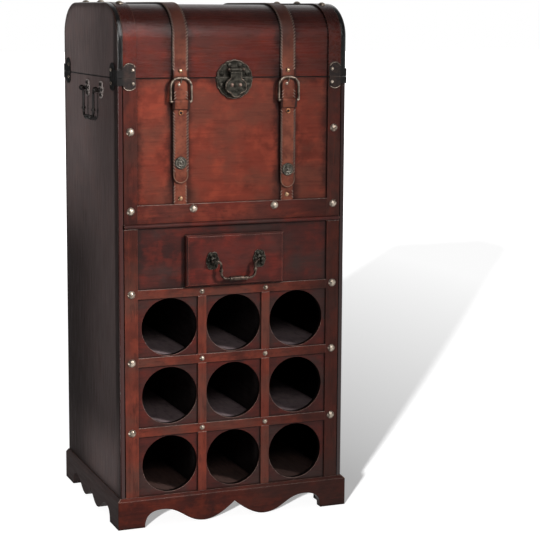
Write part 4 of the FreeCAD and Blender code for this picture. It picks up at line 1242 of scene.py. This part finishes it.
def floor():
    """Wide pale floor that keeps the cabinet's shadow and fades to white with distance."""
    half = FLOOR_HALF
    corners = [(-half, -half, 0), (half, -half, 0), (half, half, 0), (-half, half, 0)]
    mesh = bpy.data.meshes.new("floor")
    mesh.from_pydata(corners, [], [(0, 1, 2, 3)])
    made = bpy.data.objects.new("floor", mesh)
    bpy.context.scene.collection.objects.link(made)
    finish = Finish("floor")
    darker, paler = (srgb(tone, tone, tone) for tone in FLOOR_TONES)
    pale = finish.mix(darker, paler, finish.noise(60.0, 3.0))
    away = finish.vector("LENGTH", finish.vector("MULTIPLY", finish.place, GLOW_STRETCH)[0])["Value"]
    glow = finish.math("MULTIPLY", finish.math("POWER", away, GLOW_POWER), GLOW_GAIN)
    glow = finish.math("MAXIMUM", finish.math("SUBTRACT", glow, GLOW_LOSS), GLOW_LIMITS[0])
    glow = finish.math("MINIMUM", glow, GLOW_LIMITS[1])
    finish.set(
        Base_Color=pale,
        Roughness=0.9,
        Specular_IOR_Level=0.0,
        Emission_Color=WHITE,
        Emission_Strength=finish.math("MULTIPLY", glow, finish.seen_rays()),
    )
    mesh.materials.append(finish.material)
    made.visible_diffuse = False
    made.visible_glossy = False
    return made


def world():
    """White surroundings that darken overhead and on the left in mirrors, with a weak even light."""
    made = bpy.data.worlds.new("studio")
    made.use_nodes = True
    sky = Wiring(made.node_tree)
    background = sky.tree.nodes["Background"]
    direction = sky.node("ShaderNodeTexCoord").outputs["Generated"]
    right, behind, height = sky.node("ShaderNodeSeparateXYZ", {0: direction}).outputs
    above = sky.math("SUBTRACT", height, sky.math("MULTIPLY", behind, SKY_SLOPE))
    fade = sky.remap(above, *SKY_FADE)
    mirrored = sky.math("MULTIPLY", fade, sky.remap(right, *FLAG_FADE))
    shown = sky.math("MAXIMUM", mirrored, sky.node("ShaderNodeLightPath").outputs["Is Camera Ray"])
    strength = sky.node("ShaderNodeMix", {0: sky.seen_rays(), 2: AMBIENT, 3: shown}, data_type="FLOAT")
    sky.feed(background.inputs["Color"], WHITE)
    sky.feed(background.inputs["Strength"], strength.outputs[0])
    bpy.context.scene.world = made


def aim(lamp, direction, place=(0, 0, 0)):
    """Stand a lamp at a place, shining in a direction."""
    lamp.location = place
    lamp.rotation_euler = direction.to_track_quat("-Z", "Y").to_euler()
    bpy.context.scene.collection.objects.link(lamp)


def softbox(name, place, target, size, power):
    """Rectangular lamp."""
    data = bpy.data.lights.new(name, "AREA")
    data.shape = "RECTANGLE"
    data.size, data.size_y = size
    data.energy = power
    lamp = bpy.data.objects.new(name, data)
    aim(lamp, Vector(target) - Vector(place), place)
    lamp.visible_camera = False
    return lamp


def spotlight(name, place, target, cone, tall, radius, power):
    """Soft-edged lamp whose beam can be taller than it is wide."""
    data = bpy.data.lights.new(name, "SPOT")
    data.spot_size = math.radians(cone)
    data.spot_blend = 1.0
    data.shadow_soft_size = radius
    data.energy = power
    lamp = bpy.data.objects.new(name, data)
    aim(lamp, Vector(target) - Vector(place), place)
    lamp.scale = (1.0, tall, 1.0)
    return lamp


def floor_sun():
    """Far lamp that throws the shadow on the floor."""
    data = bpy.data.lights.new("floor_sun", "SUN")
    data.energy = SUN_POWER
    data.angle = math.radians(SUN_ANGLE)
    lamp = bpy.data.objects.new("floor_sun", data)
    aim(lamp, SUN_DIRECTION)
    return lamp


def receivers(lamp, objects, state):
    """Let a lamp light only some objects, or everything but them."""
    group = bpy.data.collections.new(f"{lamp.name}_receivers")
    for i, obj in enumerate(objects):
        group.objects.link(obj)
        group.collection_objects[i].light_linking.link_state = state
    lamp.light_linking.receiver_collection = group


def metal_pieces():
    """Every object with a metal finish."""
    finishes = {finish.name for finish in METALS}
    shown = [obj for obj in bpy.context.scene.objects if obj.type == "MESH" and obj.material_slots]
    return [obj for obj in shown if obj.material_slots[0].material.name in finishes]


def lights(ground):
    """Key from the right, a lamp for the left side, sheen over the lid, soft fills, and the floor's sun."""
    key = spotlight("key", KEY_PLACE, KEY_TARGET, radius=0.25, power=315, **KEY_BEAM)
    glint = spotlight("glint", KEY_PLACE, KEY_TARGET, radius=0.1, power=200, **KEY_BEAM)
    fill = softbox("fill", (-0.5, -2.5, 1.7), (0.0, -0.1, 0.4), size=(0.6, 0.6), power=10)
    side = spotlight("side", (-1.85, -2.0, 1.1), (-0.2, 0.0, 0.75), cone=36, tall=1.0, radius=0.03, power=400)
    sheen = softbox("sheen", (0.36, -2.0, 2.1), (-0.1, -0.15, 0.87), size=(0.2, 2.6), power=22)
    bounce = softbox("bounce", (-1.0, -0.35, 0.06), (-0.22, 0.05, 0.12), size=(0.5, 0.2), power=2.5)
    back = softbox("back", (0.5, 2.4, 1.2), (0.0, 0.19, 0.5), size=(1.0, 1.0), power=30)
    right = softbox("right", (2.2, 0.8, 1.2), (0.22, 0.0, 0.5), size=(1.0, 1.0), power=20)
    for lamp in (key, back, right):
        lamp.visible_glossy = False
    for lamp in (glint, sheen):
        lamp.visible_diffuse = False
    for lamp in (key, fill, sheen, bounce, back, right):
        receivers(lamp, [ground], "EXCLUDE")
    receivers(side, [frame["nodes"][name] for name in LEFT_LIT], "INCLUDE")
    receivers(glint, metal_pieces(), "INCLUDE")
    receivers(floor_sun(), [ground], "INCLUDE")


def camera():
    """Camera that turns, tilts and rolls about its place."""
    data = bpy.data.cameras.new("camera")
    data.lens = CAMERA_LENS
    data.shift_y = CAMERA_SHIFT_Y
    made = bpy.data.objects.new("camera", data)
    turn = Matrix.Rotation(-math.radians(CAMERA_YAW), 4, "Z")
    tilt = Matrix.Rotation(math.radians(90 + CAMERA_PITCH), 4, "X")
    roll = Matrix.Rotation(math.radians(CAMERA_ROLL), 4, "Z")
    made.matrix_world = Matrix.Translation(CAMERA_PLACE) @ turn @ tilt @ roll
    bpy.context.scene.collection.objects.link(made)
    bpy.context.scene.camera = made


dress_frame()
strap("left", -STRAP_X)
strap("right", STRAP_X)
lower_straps()
latch_relief()
corner_rims()
rosettes()
plate_nails()
hinge_screws()
world()
lights(floor())
camera()
bpy.context.scene.view_settings.view_transform = "Standard"
